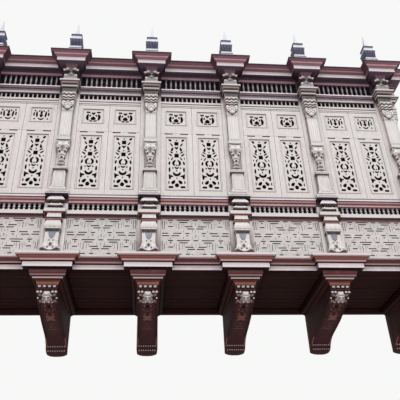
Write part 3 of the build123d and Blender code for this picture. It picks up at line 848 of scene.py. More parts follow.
def latticeHoles():
    # horizontal slots by row, as (drop, spans on one side, half widths at the middle), then the upright
    # slots and the fine slits at the edges of the straps
    v = latticeValues
    rows = [
        (0, [(92, 292), (349, 430)], [38]),
        (-39, [(122, 255), (371, 401)], []),
        (-114, [(36, 168), (346, 426)], []),
        (-153, [(12, 131)], []),
        (-234, [(218, 350), (420, 524), (92, 162)], []),
        (-277, [(248, 376), (405, 522), (112, 148)], [12]),
    ]
    holes = []
    for turn in (0, 1):
        for drop, spans, middles in rows:
            z = v["firstRow"] + drop - turn * v["period"]
            if z < baseTop + 25:
                continue
            for x0, x1 in spans:
                holes += [slotHole(x0, x1, z, v["slotHeight"]), slotHole(-x1, -x0, z, v["slotHeight"])]
            for half in middles:
                holes.append(slotHole(-half, half, z, v["slotHeight"]))
    uprights = [
        (258, 722, 825), (258, 357, 466), (516, 721, 879), (516, 357, 518), (388, 497, 510),
        (485, 726, 870), (485, 366, 470),
    ]
    slits = [
        (211, 740, 822), (211, 374, 470), (300, 738, 826), (300, 372, 474), (0, 560, 588), (0, 660, 700),
        (44, 548, 594), (44, 666, 712), (190, 548, 590), (190, 664, 706), (388, 548, 586), (455, 440, 505),
        (455, 800, 866), (330, 776, 830), (330, 416, 470), (180, 776, 820), (180, 416, 466), (60, 424, 474),
        (60, 786, 832), (0, 424, 474), (0, 786, 832), (535, 430, 500), (535, 790, 860), (300, 302, 352),
        (130, 306, 350), (60, 262, 300),
    ]
    for width, marks in ((v["uprightWidth"], uprights), (v["slitWidth"], slits)):
        for x, low, high in marks:
            for side in (-1, 1) if x else (1,):
                holes.append(rectangle(side * x - width / 2, side * x + width / 2, low, high))
    return holes


latticeBoard = pierced(
    rectangle(gap - opening / 2, opening / 2 - gap, baseTop + gap, latticeTop - gap),
    latticeHoles(), screenY + latticeRecess, latticeValues["thickness"], 1.0,
)
numbered("parapet_lattice", copiesAt(bays, latticeBoard), [paleLying])
onBothSides("parapet_lattice", latticeBoard, [paleLying])
print("lattices made")


# Screen leaves

leafValues = {
    "inner": 2, "outer": 542, "panelInner": 105, "panelOuter": 452, "joint": 2628, "headJoint": 3226,
    "tallBottom": 1463, "tallTop": 2538, "squareBottom": 2829, "squareTop": 3128,
    "thickness": 45, "fretRecess": 8, "fretThickness": 14, "growAcross": 3, "growUp": 7,
    "notches": ((342, 482), (72, 212)), "notchDepth": 21, "notchSlope": 4, "jointGap": 4, "clearance": 1,
}


def turnedPoints(points, angle, cx, cz):
    # turns an outline about the origin, then moves it to its centre
    c, s = math.cos(angle), math.sin(angle)
    x, z = np.asarray(points, float).T
    return np.column_stack([cx + c * x - s * z, cz + s * x + c * z])


def grown(outline, across, up):
    # an outline made larger about its own middle by a fixed amount on each side
    low, high = outline.min(0), outline.max(0)
    middle, reach = (low + high) / 2, (high - low) / 2
    return middle + (outline - middle) * (1 + np.array([across, up]) / reach)


def blob(cx, cz, width, height, angle=0.0, point=0.0, count=12):
    # an oval, drawn to a point at its top by the share point
    t = np.linspace(0, 2 * math.pi, count, endpoint=False)
    x = width / 2 * np.cos(t) * (1 - point * np.sin(t))
    return turnedPoints(np.column_stack([x, height / 2 * np.sin(t)]), angle, cx, cz)


def flower(cx, cz, radius, lobes=4, depth=0.28, count=16):
    # a disc whose radius swings with the angle, once for each lobe
    t = np.linspace(0, 2 * math.pi, count, endpoint=False)
    r = radius * (1 - depth * (0.5 - 0.5 * np.cos(lobes * (t - math.pi / 4))))
    return np.column_stack([cx + r * np.cos(t), cz + r * np.sin(t)])


def crescent(cx, cz, radius, start, end, width, count=8):
    # a band along an arc, thin at its ends
    t = np.linspace(math.radians(start), math.radians(end), count)
    w = width * np.sin(np.linspace(0.3, math.pi - 0.3, count)) ** 0.6
    outer = np.column_stack([cx + (radius + w / 2) * np.cos(t), cz + (radius + w / 2) * np.sin(t)])
    inner = np.column_stack([cx + (radius - w / 2) * np.cos(t), cz + (radius - w / 2) * np.sin(t)])
    return np.vstack([outer, inner[::-1]])


def heart(cx, cz, width, height):
    # two lobes over a point
    points = [
        (0, -0.5), (0.28, -0.15), (0.5, 0.2), (0.42, 0.45), (0.2, 0.5), (0, 0.28),
        (-0.2, 0.5), (-0.42, 0.45), (-0.5, 0.2), (-0.28, -0.15),
    ]
    return np.array(points) * [width, height] + [cx, cz]


def fretHoles(outlines):
    # each hole a little larger, and those off the middle line with their mirror image
    holes = []
    for outline in outlines:
        holes.append(outline)
        if abs(outline[:, 0].mean()) > 5:
            holes.append((outline * [-1, 1])[::-1])
    return [grown(hole, leafValues["growAcross"], leafValues["growUp"]) for hole in holes]


# Fretwork of the tall panel about its upright middle line, from the top down
tallMotifs = fretHoles([
    blob(111, 2484, 33, 54, -1.0, 0.15), blob(0, 2486, 20, 16, count=6), flower(0, 2412, 44),
    blob(86, 2388, 24, 68, -0.6, 0.2), heart(0, 2312, 64, 50), blob(74, 2288, 34, 76, 0.25, 0.25),
    blob(0, 2236, 20, 20, count=6), blob(87, 2222, 20, 62, -1.1, 0.2), blob(106, 2170, 25, 68, -0.95, 0.3),
    flower(0, 2156, 45), blob(76, 2090, 20, 60, 0.55, 0.2), blob(132, 2092, 14, 22, count=6),
    crescent(0, 1996, 55, -58, 70, 36), blob(0, 1952, 20, 20, count=6), blob(122, 1998, 28, 66, 0.2, 0.2),
    crescent(0, 1928, 34, 205, 335, 24), blob(64, 1896, 20, 22, count=6), blob(121, 1860, 27, 88),
    blob(0, 1841, 18, 20, count=6), crescent(0, 1806, 52, 182, 358, 44, 14),
    np.array([
        (60, 1735), (64, 1716), (92, 1712), (104, 1676), (126, 1672), (132, 1724), (130, 1774), (108, 1752),
    ], float),
    blob(0, 1686, 16, 18, count=6), blob(58, 1610, 50, 78, 0.75, 0.25), blob(131, 1604, 15, 54),
    blob(0, 1548, 62, 68, count=14), slotHole(60, 138, 1512, 28),
])

# The two designs of the square panel
squareMotifs = {
    "cross": fretHoles([
        slotHole(56, 122, 3066, 22), heart(0, 3036, 70, 52), blob(52, 2990, 22, 44, 0.5, 0.2),
        crescent(-10, 2953, 114, -34, 34, 42), blob(0, 2930, 82, 74, 0.0, 0.35),
        turnedPoints(slotHole(-28, 28, 0, 18), 0.12, 38, 2870),
    ]),
    "drop": fretHoles([
        blob(112, 3072, 28, 24, count=8), blob(124, 2992, 24, 76), blob(76, 2990, 30, 128, -0.1, 0.1),
        blob(0, 3036, 34, 78, 0.0, 0.4), blob(0, 2956, 52, 60, math.pi, 0.5),
        blob(38, 3062, 20, 34, 0.6, 0.2), crescent(0, 2934, 56, 215, 325, 24, 10),
        blob(112, 2886, 28, 20, count=8),
    ]),
}


def ringMoulding(x0, x1, z0, z1, section):
    # a closed section of (way out from the opening, way forward) carried round its four corners
    section = np.asarray(section, float)
    corners = np.array([(x0, z0, -1, -1), (x1, z0, 1, -1), (x1, z1, 1, 1), (x0, z1, -1, 1)], float)
    out = section[None, :, 0]
    points = np.stack([
        corners[:, 0:1] + corners[:, 2:3] * out,
        screenY - section[None, :, 1] + 0 * corners[:, 0:1],
        corners[:, 1:2] + corners[:, 3:4] * out,
    ], -1)
    return grid(np.concatenate([points, points[:1]]), caps=False)


ringSection = [(-2, -24), (-2, -2), (3, 2), (6, 6), (12, 8), (18, 6), (22, 1), (23, -4)]


def leaf(kind):
    # lower board with its notched top edge, upper board and head board, each opening ringed and filled
    v = leafValues
    inner, outer, thickness, clear = v["inner"], v["outer"], v["thickness"], v["clearance"]
    x0, x1 = v["panelInner"], v["panelOuter"]
    panels = [(v["tallBottom"], v["tallTop"]), (v["squareBottom"], v["squareTop"])]
    top = v["joint"] - clear
    sunk, slope = top - v["notchDepth"], v["notchSlope"]
    lower = [(inner, sillTop + clear), (outer, sillTop + clear), (outer, top)]
    for a, b in v["notches"]:
        lower += [(b, top), (b - slope, sunk), (a + slope, sunk), (a, top)]
    lower.append((inner, top))
    upper = rectangle(inner, outer, v["joint"] + clear, v["headJoint"] - v["jointGap"])
    parts = [
        pierced(outline, [rectangle(x0, x1, *panel)], screenY, thickness, 1.5)
        for outline, panel in zip((np.array(lower, float), upper), panels)
    ]
    parts.append(board(inner, outer, screenY, screenY + thickness, v["headJoint"] + v["jointGap"],
                       screenTop - clear, 1.5))
    for (low, high), motifs in zip(panels, (tallMotifs, squareMotifs[kind])):
        holes = [m + [(x0 + x1) / 2, 0] for m in motifs]
        parts.append(ringMoulding(x0, x1, low, high, ringSection))
        parts.append(pierced(rectangle(x0 - 1, x1 + 1, low - 1, high + 1), holes,
                             screenY + v["fretRecess"], v["fretThickness"], 1.0))
    return joined(parts)


pairs = {}
for kind in squareMotifs:
    half = leaf(kind)
    pairs[kind] = joined([mirrored(half), half])
kinds = ("drop", "cross", "cross", "cross", "drop")
numbered("screen", [moved(pairs[kind], x=x) for kind, x in zip(kinds, bays)], [paleUpright])
onBothSides("screen", pairs["drop"], [paleUpright])
print("screens made")


# Rails and turned balusters

balusterValues = {
    # way up as a share, radius, tone (painted highlight below 0 on the feet, painted shade above 0 towards
    # the tops)
    "beaded": [
        (0, 30, 0), (0.08, 28, 0), (0.16, 20, 0), (0.3, 14, 0), (0.4, 16, 0), (0.46, 23, 0), (0.54, 23, 0),
        (0.6, 16, 0), (0.7, 14, 0), (0.84, 20, 0), (0.92, 28, 0), (1, 30, 0),
    ],
    "plain": [
        (0, 24, -0.3), (0.07, 19, -0.3), (0.16, 14, -0.2), (0.3, 13, 0), (0.7, 13, 0), (0.84, 14, 0.1),
        (0.93, 19, 0.2), (1, 24, 0.3),
    ],
    "tall": [
        (0, 42, -0.9), (0.04, 40, -0.9), (0.08, 30, -0.7), (0.13, 20, -0.3), (0.2, 13, 0), (0.27, 12, 0),
        (0.30, 18, -0.4), (0.33, 12, 0), (0.36, 19, -0.4), (0.39, 13, 0), (0.43, 15, 0), (0.55, 19, 0.05),
        (0.7, 19, 0.2), (0.84, 15, 0.4), (0.9, 14, 0.5), (0.95, 24, 0.55), (1, 30, 0.6),
    ],
    "smallCount": 13, "tallCount": 11, "sides": 12, "inset": 28,
}
railBack = 60


def balusterRow(kind, count, low, high):
    # evenly spaced turned balusters, the outer ones one pitch from the posts
    way, radius, tone = np.array(balusterValues[kind], float).T
    profile = np.column_stack([radius, low + (high - low) * way, tone])
    pitch = opening / (count + 1)
    places = [((i + 1) * pitch - opening / 2, screenY + balusterValues["inset"], 0) for i in range(count)]
    return repeated(lathe(profile, balusterValues["sides"]), places)


def railLength(section):
    # a rail's front section of (way forward, height, finish, tone), closed by its back
    section = [(*s, 0.0)[:4] for s in section]
    points = [(screenY - y, z, tone) for y, z, _, tone in section]
    points += [(screenY + railBack, section[-1][1], 0), (screenY + railBack, section[0][1], 0)]
    numbers = [f for _, _, f, _ in section] + [section[-1][2], section[0][2]]
    return lengthOf(points, gap - opening / 2, opening / 2 - gap, numbers)


# tones above 0 in the rail sections darken them as painted shade, and finish 1 in the frieze is the red
# timber in painted shade
sillRow = joined([
    railLength([
        (-4, 905, 1), (2, 908, 1), (4, 922, 2), (10, 926, 2), (30, 943, 2), (44, 948, 0), (44, 994, 0),
        (40, 998, 0), (40, 1006, 0), (34, 1010, 0), (6, 1011, 0), (6, 1036, 0),
    ]),
    railLength([
        (6, 1152, 2), (6, 1168, 2), (8, 1171, 3), (10, 1199, 3, 0.4), (8, 1202, 1), (12, 1221, 1),
        (24, 1224, 3, 0.45), (27, 1249, 3, 0.45), (29, 1252, 2), (31, 1267, 2), (35, 1270, 4),
        (36, 1293, 4), (37, 1296, 0, 0.6), (38, 1309, 0, 0.6), (40, 1312, 0), (40, 1326, 0), (34, 1331, 0),
    ]),
    balusterRow("beaded", balusterValues["smallCount"], 1030, 1158),
])
friezeRow = joined([
    railLength([
        (8, 3258, 0), (8, 3293, 0), (2, 3297, 2), (2, 3308, 0), (10, 3312, 0), (10, 3340, 0), (6, 3344, 0),
        (6, 3358, 0),
    ]),
    railLength([
        (6, 3466, 2, 0.5), (6, 3472, 0), (12, 3475, 0, 0.15), (12, 3516, 0, 0.15), (6, 3520, 1),
        (6, 3560, 1), (2, 3564, 2), (2, 3590, 1), (8, 3596, 1), (8, 3630, 2), (12, 3636, 4), (16, 3647, 4),
        (12, 3662, 0),
    ]),
    railLength([
        (6, 3906, 2, 0.4), (6, 3912, 3, 0.2), (6, 3926, 3, 0.2), (10, 3932, 3, 0.25), (10, 3962, 3, 0.3),
        (4, 3970, 2), (2, 4086, 2),
    ]),
    balusterRow("plain", balusterValues["smallCount"], 3352, 3470),
    balusterRow("tall", balusterValues["tallCount"], 3656, 3910),
])
sillFinishes = [paleLying, redTimber, plumAndShadeTimber, roseLine, corniceBright]
friezeFinishes = [paleLying, mauveShadedRed, plumAndShadeTimber, corniceRed, corniceBright]
for name, row, finishes in (("sill", sillRow, sillFinishes), ("frieze", friezeRow, friezeFinishes)):
    inPlaceOf(f"{name}_front", joined(copiesAt(bays, row)), finishes, slot="carved_timber")
    onBothSides(name, row, finishes, slot="carved_timber")
print("rails made")


# A near-black sheet behind the openings, standing as painted shade for the dark inside

shadeSheetValues = {"clearance": 1, "front": 66, "back": 69, "ends": 2}
v = shadeSheetValues
shadeSheet = board(v["clearance"] - opening / 2, opening / 2 - v["clearance"], screenY + v["front"],
                   screenY + v["back"], baseTop + v["ends"], friezeTop - v["ends"], 1)
sheets = copiesAt(bays, shadeSheet) + [toSide(shadeSheet, s) for s in (-1, 1)]
addPiece("inner_shade_sheet", joined(sheets), [shadeSheetFinish], slot="dark_timber")


# Corbels

corbelValues = {
    "half": 152,
    "capSection": [  # way out from the body, height, finish of the face below, tone (below 0 painted highlight, above 0 painted shade)
        (113, 0, 1, 0), (113, -16, 1, -0.3), (115, -20, 1, 0), (113, -25, 1, 0), (113, -46, 1, 0),
        (110, -50, 1, 0.2), (110, -60, 1, 0.3), (98, -64, 1, -0.6), (98, -82, 1, -0.6), (97, -90, 0, 0),
        (70, -94, 0, 0), (66, -98, 2, -0.6), (66, -112, 2, -0.6), (60, -122, 0, 0),
    ],
    "headTilt": 40,
    "headRadii": (74, 74, 96),
    "rosette": (620, 100),  # depth of its middle, length of a petal
    "head": (148, -348),  # depth, height
    "dentils": ((-106, -36, 36, 106), 52, -212),  # places across, depth, height
    "band": (150, 52, 140, -276, -258),  # half width, front and back depth, bottom, top
    "eggs": [  # radii, tone (a painted highlight), places across, depth, height
        ((22, 17, 17), -0.7, (-128, -82, 82, 128), 72, -300),
        ((15, 13, 13), -0.95, (-132, 132), 168, -356),
        ((19, 14, 14), -0.6, (-64, 64), 236, -392),
    ],
    "beads": (128, 8, 11),  # reach to each side, count, radius
    "beadRows": [(1408, -672), (1440, -734)],  # depth, height
    "scrolls": [(102, 128, -326, 20), (100, 226, -380, 18)],  # way across, depth, height, size
}

# Marks on the corbel's face, the same on both sides: way across, depth, half width, half length, raise, tone
# (below 0 painted highlight, above 0 painted shade)
corbelSpots = [
    (84, 222, 20, 15, 12, -0.9), (45, 262, 18, 13, 10, -0.7), (118, 250, 16, 22, 10, -0.25),
    (0, 365, 26, 44, -8, 0.9), (46, 330, 13, 40, 10, -0.3), (92, 350, 14, 60, 8, -0.12),
    (60, 430, 20, 24, 8, -0.15), (0, 470, 24, 26, 12, -0.1), (40, 530, 12, 14, 6, -0.35),
    (0, 790, 40, 22, 10, -0.12), (0, 862, 34, 30, 14, -0.1), (36, 905, 10, 14, 6, -0.3),
    (0, 1010, 40, 44, 12, 0.0), (0, 1120, 34, 44, 12, 0.0), (120, 1010, 12, 50, 6, -0.12),
]

# Hills on the head, the same on both sides: way across, height, half width, half height as shares of
# the egg, and millimetres raised
headHills = [
    (0.30, 0.20, 0.20, 0.07, 5), (0.32, 0.04, 0.15, 0.10, -11), (0.32, 0.03, 0.08, 0.05, 6),
    (0, -0.14, 0.09, 0.16, 17), (0, -0.25, 0.15, 0.06, 7), (0.42, -0.2, 0.16, 0.16, 6),
    (0, -0.41, 0.18, 0.035, 6), (0, -0.50, 0.15, 0.035, 6), (0, -0.455, 0.18, 0.02, -4),
    (0, -0.70, 0.18, 0.10, 6),
]
# and its tones: painted highlights on the cap, brow, nose and cheeks, painted shade at the eyes, hairline and
# chin
headTones = [
    (0, 0.78, 1.1, 0.24, -1.0), (0, 0.26, 0.42, 0.09, -1.0), (0, -0.12, 0.16, 0.22, -0.6),
    (0.42, -0.62, 0.16, 0.12, -0.7), (0.32, 0.05, 0.13, 0.07, 0.6), (0, 0.5, 0.6, 0.08, 0.5),
    (0, -0.9, 0.5, 0.2, 0.6),
]


def corbelCurve(count=210):
    # front line of the body through its stations, evenly spaced: depth, height and half width
    stations = np.array([
        (62, -122, 152), (56, -160, 152), (60, -205, 152), (60, -253, 152), (76, -258, 152), (76, -291, 152),
        (92, -300, 150), (170, -345, 150), (240, -384, 150), (300, -404, 151), (396, -420, 152),
        (500, -446, 153), (600, -480, 154), (700, -502, 155), (800, -520, 156), (940, -540, 158),
        (1080, -558, 160), (1180, -570, 162), (1260, -585, 165), (1340, -614, 168), (1400, -652, 170),
        (1436, -700, 171), (1456, -735, 171), (1480, -768, 168), (1520, -786, 164), (1569, -790, 162),
    ], float)
    way = np.concatenate([[0], np.cumsum(np.hypot(*np.diff(stations[:, :2], axis=0).T))])
    at = np.linspace(0, way[-1], count)
    return np.column_stack([np.interp(at, way, column) for column in stations.T])


def corbelRelief(x, y):
    # what is raised on the corbel's face in millimetres, and its tone of painted highlight and shade
    side = np.abs(x)
    raised = np.zeros_like(x + y)
    tone = np.zeros_like(raised)
    for cx, cy, rx, ry, height, shade in corbelSpots:
        mark = spot(side, y, cx, cy, rx, ry)
        raised += height * mark
        tone += shade * mark
    # raised margins, with a painted highlight along them, strongest towards the toe
    raised += 7 * np.clip((side - 132) / 6, 0, 1) * (y > 300)
    line = np.exp(-((side - 150) / 7) ** 2)
    tone -= 0.55 * line * band(y, 1240, 1440, 30) + 0.14 * line * band(y, 930, 1200, 30)
    # a level seam across the foot of the rosette's panel, with a painted highlight along it
    seam = np.exp(-((y - 962) / 7) ** 2)
    raised += 4 * seam
    tone -= 0.3 * seam
    # rosette: four veined petals on the diagonals, with painted highlight on the veins and painted shade
    # round their rims
    middle, petal = corbelValues["rosette"]
    away = np.hypot(x, y - middle)
    turn = np.arctan2(y - middle, x + 1e-6)
    petals = 0.5 + 0.5 * np.abs(np.sin(2 * turn))
    rose = np.clip(1.25 - away / (petal * petals), 0, 1) ** 0.7
    veins = 0.5 + 0.5 * np.sin(turn * 16 + away / 9)
    raised += (20 + 6 * veins) * rose - 10 * np.exp(-(away / 14) ** 2)
    tone += 0.3 * np.exp(-((away - 96 * petals) / 9) ** 2) - 0.8 * rose * veins
    # combed waves of beard and leaf with painted highlight on their crests, reeds down to the toe, and
    # painted shade towards both sides of the body
    waves = np.sin(side / 11 + y / 16) * band(y, 290, 500, 30)
    reeds = np.abs(np.sin(x / 27)) * (side < 126) * band(y, 1150, 1395, 40)
    raised += 4 * waves + 7 * reeds
    tone -= 0.1 * np.clip(waves, 0, 1)
    tone += 0.55 * np.clip((side - 60) / 90, 0, 1) ** 1.5 * band(y, 250, 1230, 60)
    fade = np.clip((1500 - y) / 60, 0, 1)
    return raised * fade, np.clip(tone, -1, 1)


def corbelBody(columns=49):
    # rows follow the front line; each point is pushed out along the line's normal by the relief
    line = corbelCurve()
    y, z, half = line.T[:, :, None]
    u = np.linspace(-1, 1, columns)[None]
    slope = np.gradient(line[:, :2], axis=0)
    slope /= np.linalg.norm(slope, axis=1)[:, None]
    raised, tone = corbelRelief(half * u, y)
    raised = raised * np.clip((1 - np.abs(u)) * 20, 0, 1)
    faceY = screenY + y + slope[:, 1:2] * raised
    # the toe hangs lowest at its middle
    faceZ = z - slope[:, 0:1] * raised + 34 * np.abs(u) ** 3 * np.clip((y - 1380) / 90, 0, 1)
    face = np.stack([half * u, faceY, faceZ, tone], -1)
    # and runs up on both sides to just under the cap's top
    edges = []
    for sign in (-1, 1):
        edge = np.zeros((len(line), 1, 4))
        edge[:, 0, 0] = sign * half[:, 0]
        edge[:, 0, 1] = screenY + y[:, 0]
        edge[:, 0, 2] = -2
        edges.append(edge)
    return grid(np.concatenate([edges[0], face, edges[1]], 1))


def aroundCorbel(section, front, numbers):
    # a section of (way out, height, tone) carried from the wall along one side, round the front and back,
    # with painted shade along both sides
    half = corbelValues["half"]
    path = np.array([
        (-half, -82), (-half, front + 8), (-half, front), (half, front), (half, front + 8), (half, -82),
    ], float)
    out = np.array([(-1, 0), (-1, 0), (-1, -1), (1, -1), (1, 0), (1, 0)], float)
    section = np.array(section, float)
    ring = path[:, None] + out[:, None] * section[None, :, :1]
    heights = np.broadcast_to(section[:, 1], ring.shape[:2])
    tones = np.maximum(section[None, :, 2], np.array([0.8, 0.7, -1, -1, 0.7, 0.8])[:, None])
    return grid(np.dstack([ring, heights, tones]), finish=np.array(numbers)[None])


def corbelCap():
    cap = corbelValues["capSection"]
    section = [(out, z, tone) for out, z, _, tone in cap] + [(-30, -124, 0), (-30, 0, 0)]
    return aroundCorbel(section, screenY + 62, [f for _, _, f, _ in cap] + [0, 0])


def cove():
    # a quarter-hollow from the cap in to the dentil band, darker at its top and paler at its foot as painted
    # shade and highlight, with copper-coloured painted glint lines in its lower half
    t = np.linspace(0, 1, 10)
    section = np.column_stack([
        56 * (1 - np.sin(t * math.pi / 2)) + 2, -122 - 83 * (1 - np.cos(t * math.pi / 2)), 0.25 - 0.5 * t,
    ])
    section = np.vstack([section, [(-20, -205, 0), (-20, -122, 0)]])
    return aroundCorbel(section, screenY + 60, [0, 1, 1, 4, 1, 4, 4, 1, 0, 0, 0, 0])


def ball(rx, ry, rz, tone=-0.4, around=8, up=6):
    # an egg: latitude by longitude, its tone a painted highlight
    t = np.linspace(0.02, math.pi - 0.02, up)[:, None]
    a = np.linspace(0, 2 * math.pi, around, endpoint=False)[None]
    x, y, z = np.sin(t) * np.cos(a), np.sin(t) * np.sin(a), np.cos(t) + 0 * a
    return grid(np.stack([rx * x, ry * y, rz * z, tone + 0 * x], -1), finish=2)


def head():
    # an egg with hills on its front, evenly spaced by the plain rule of thirds; hair and beard as
    # combed waves
    t = np.linspace(0.03, math.pi - 0.03, 48)[:, None]
    a = np.linspace(0, 2 * math.pi, 60, endpoint=False)[None]
    x, y, z = np.sin(t) * np.cos(a), np.sin(t) * np.sin(a), np.cos(t) + 0 * a
    side, front = np.abs(x), y < 0
    lift = sum(height * bump(side, z, *place) for *place, height in headHills) * front
    hair = np.clip(np.clip((np.hypot(x / 0.78, (z + 0.05) / 0.72) - 1) * 6, 0, 1) * front + ~front, 0, 1)
    comb = np.sin(9 * np.arctan2(z, side + 0.1) + 12 * np.hypot(x, z))
    scale = 1 + (lift + hair * (4 + 3 * comb)) / 80
    # tone: paler on the front and darker behind, with painted highlight and shade along the combed strands,
    # then the painted highlights and shade of headTones
    tone = np.where(front, -0.25, 0.4) + hair * (0.1 - 0.35 * comb)
    tone += sum(shade * bump(side, z, *place) for *place, shade in headTones)
    rx, ry, rz = corbelValues["headRadii"]
    return grid(np.stack([rx * x * scale, ry * y * scale, rz * z * scale, tone], -1), finish=2)


def tiltBack(part):
    angle = math.radians(corbelValues["headTilt"])
    c, s = math.cos(angle), math.sin(angle)
    return turned(part, [[1, 0, 0], [0, c, -s], [0, s, c]])


dentil = board(-21, 21, -16, 6, -30, 0, 5, finish=2)
# a painted highlight on the dentils
dentil[0][:, 3] = -0.55


def acrossCorbel(part, across, y, z):
    # the part repeated over the corbel's width at one depth and height
    return repeated(part, [(x, screenY + y, z) for x in across])


v = corbelValues
half, bandFront, bandBack, bandLow, bandHigh = v["band"]
headDepth, headHeight = v["head"]
corbelParts = [
    corbelBody(), corbelCap(), cove(), acrossCorbel(dentil, *v["dentils"]),
    board(-half, half, screenY + bandFront, screenY + bandBack, bandLow, bandHigh, 4),
]
corbelParts += [acrossCorbel(ball(*radii, tone), *place) for radii, tone, *place in v["eggs"]]
corbelParts.append(moved(tiltBack(head()), y=screenY + headDepth, z=headHeight))
reach, count, radius = v["beads"]
bead = ball(radius, radius, radius)
corbelParts += [acrossCorbel(bead, np.linspace(-reach, reach, count), *row) for row in v["beadRows"]]
# the corbel's scrolls keep less of the curl's painted highlight
for x, y, z, size in v["scrolls"]:
    points, loops, faces, finish = curl(size, 2.0, size * 0.32)
    scroll = points + [0, 0, 0, 0.5], loops, faces, finish + 2
    for part, sign in ((scroll, 1), (mirrored(scroll), -1)):
        corbelParts.append(moved(tiltBack(part), x=sign * x, y=screenY + y, z=z))
corbelShape = joined(corbelParts)
corbelFinishes = [corbelTimber, capRed, dustedAndHighlit, redTimber, paintedGlintLine]
numbered("corbel", copiesAt(centres, corbelShape), corbelFinishes, smooth=50, slot="dark_timber")
print("corbels made")


# Soffit boards and battens

soffitValues = {
    "boardWidth": 118, "groove": 4, "thickness": 20, "wallEdge": -80, "battenEnd": 265,
    "battenRows": (screenY + 200, -170, -340, -470, -920),
    "battenSection": [(-22, 0), (-22, -6), (-16, -9), (-12, -14), (12, -14), (16, -9), (22, -6), (22, 0)],
    "battenFinish": [0, 1, 0, 0, 0, 1, 0, 0],
}


def soffit():
    # one long section across the boards: a shallow groove at every joint
    edge, groove, thickness = (soffitValues[k] for k in ("wallEdge", "groove", "thickness"))
    y = innerY
    section = []
    while y < edge:
        end = min(y + soffitValues["boardWidth"], edge)
        section += [(y, groove), (y + groove, 0), (end - groove, 0), (end, groove)]
        y = end
    return lengthOf(section + [(edge, thickness), (innerY, thickness)], -innerX, innerX)


inPlaceOf("soffit_boards", soffit(), [darkTimber], slot="dark_timber")
battenHalf = bay / 2 - soffitValues["battenEnd"]
battens = [
    moved(lengthOf(soffitValues["battenSection"], x - battenHalf, x + battenHalf,
                   soffitValues["battenFinish"]), y=y)
    for x in bays for y in soffitValues["battenRows"]
]
inPlaceOf("soffit_battens", joined(battens), [darkTimber, capRed], slot="dark_timber")


# Finials

finialProfile = [
    # half width, height above the cornice, finish of the face above: 0 dark slate, 1 pale
    (100, 0, 0), (100, 20, 0), (96, 26, 0), (96, 322, 0), (100, 328, 0), (100, 336, 1), (116, 338, 1),
    (120, 342, 1), (120, 374, 0), (120, 396, 1), (112, 400, 1), (112, 444, 1), (106, 448, 0),
    (104, 452, 0), (108, 540, 0), (114, 606, 0), (119, 632, 0), (120, 638, 1), (112, 646, 1),
    (100, 690, 1), (88, 740, 1), (90, 752, 0), (102, 755, 0), (102, 780, 0), (96, 784, 1), (52, 788, 1),
    (40, 860, 1), (28, 960, 1), (14, 1090, 1), (4, 1172, 1), (1, 1174, 1),
]


def finial():
    # a square section that follows the profile, with four shallow flutes on each face of the dark block,
    # painted shade in the flutes and a paler band near the block's top
    profile = np.array(finialProfile, float)
    half, z = profile[:, :1], profile[:, 1:2]
    t = np.linspace(-1, 1, 25)[:-1]
    one = np.ones_like(t)
    x, y = np.concatenate([(t, -one), (one, t), (-t, one), (-one, -t)], 1)
    between = 1 - np.tile(np.abs(np.sin(2 * math.pi * t)), 4)
    fluted = (z > 451) & (z < 633)
    half = half - 4.0 * fluted * between
    tone = 0.6 * fluted * between ** 2 - 0.5 * (z > 600) * (z < 640)
    return grid(np.stack([half * x, half * y, z + 0 * half, tone], -1), finish=profile[:-1, 2:].astype(int))


finialY = (finialLow + finialHigh)[1] / 2
finialShape = joined(copiesAt(centres, moved(finial(), y=finialY, z=corniceTop)))
inPlaceOf("finials", finialShape, [slatePaint, paleSlate], smooth=30, slot="slate_paint")
print("finials made")


# Frame nodes that show as they are

plainNodes = {
    "floor_deck": boardTimber, "floor_joists": boardTimber, "roof_deck": boardTimber,
    "wall_plate": boardTimber, "wall_ledger": darkTimber, "wall_post_left": paleUpright,
    "wall_post_right": paleUpright,
}
for name, finish in plainNodes.items():
    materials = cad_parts[name].data.materials
    materials.clear()
    materials.append(finish)


# Floor, light and camera

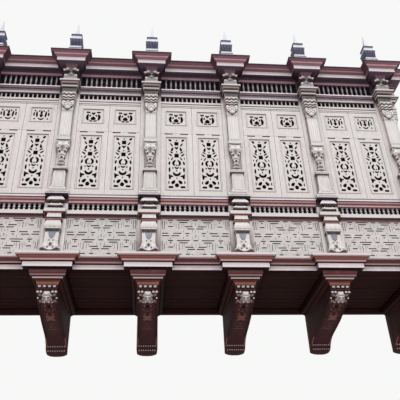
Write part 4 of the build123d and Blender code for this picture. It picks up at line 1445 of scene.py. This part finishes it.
studio = {
    "floorHeight": -5.2,
    "floorHalf": 40,
    "floorColour": (0.46, 0.46, 0.45, 1),
    "sky": (0.93, 0.94, 0.93, 1),
    "skyStrength": 1.0,
    "keyStrength": 1.6,
    "keySpread": 35,
    "keyTravel": (-0.3, 0.7, -1.25),
}


def placed(name, data):
    # an object for a mesh, lamp or camera, linked into the scene
    made = bpy.data.objects.new(name, data)
    bpy.context.scene.collection.objects.link(made)
    return made


mesh = bpy.data.meshes.new("studio_floor")
size = studio["floorHalf"]
corners = [(x * size, y * size, studio["floorHeight"]) for x, y in ((-1, -1), (1, -1), (1, 1), (-1, 1))]
mesh.from_pydata(corners, [], [(0, 1, 2, 3)])
floorFinish = Finish("studio_floor", 0.9)
floorFinish.feed("Base Color", studio["floorColour"])
mesh.materials.append(floorFinish.material)
placed("studio_floor", mesh)

world = bpy.data.worlds.new("studio")
world.use_nodes = True
world.node_tree.nodes["Background"].inputs[0].default_value = studio["sky"]
world.node_tree.nodes["Background"].inputs[1].default_value = studio["skyStrength"]
bpy.context.scene.world = world
key = bpy.data.lights.new("key", "SUN")
key.energy = studio["keyStrength"]
key.angle = math.radians(studio["keySpread"])
placed("key", key).rotation_euler = Vector(studio["keyTravel"]).to_track_quat("-Z", "Y").to_euler()
bpy.context.scene.view_settings.view_transform = "Standard"

cameraValues = {
    "place": (-0.703, -9.158, -3.606), "yaw": 5.965, "tilt": 32.55, "roll": -2.30, "lens": 50.42,
    "sensor": 36, "clipEnd": 200,
}


def aimCamera(v):
    yaw, tilt, roll = (math.radians(v[k]) for k in ("yaw", "tilt", "roll"))
    ahead = Vector((math.sin(yaw) * math.cos(tilt), math.cos(yaw) * math.cos(tilt), math.sin(tilt)))
    level = Vector((math.cos(yaw), -math.sin(yaw), 0))
    above = level.cross(ahead)
    right = level * math.cos(roll) + above * math.sin(roll)
    up = right.cross(ahead)
    data = bpy.data.cameras.new("camera")
    data.lens = v["lens"]
    data.sensor_width = v["sensor"]
    data.clip_end = v["clipEnd"]
    made = placed("camera", data)
    turn = Matrix((right, up, -ahead)).transposed().to_4x4()
    made.matrix_world = Matrix.Translation(v["place"]) @ turn
    bpy.context.scene.camera = made


aimCamera(cameraValues)
bpy.context.view_layer.update()
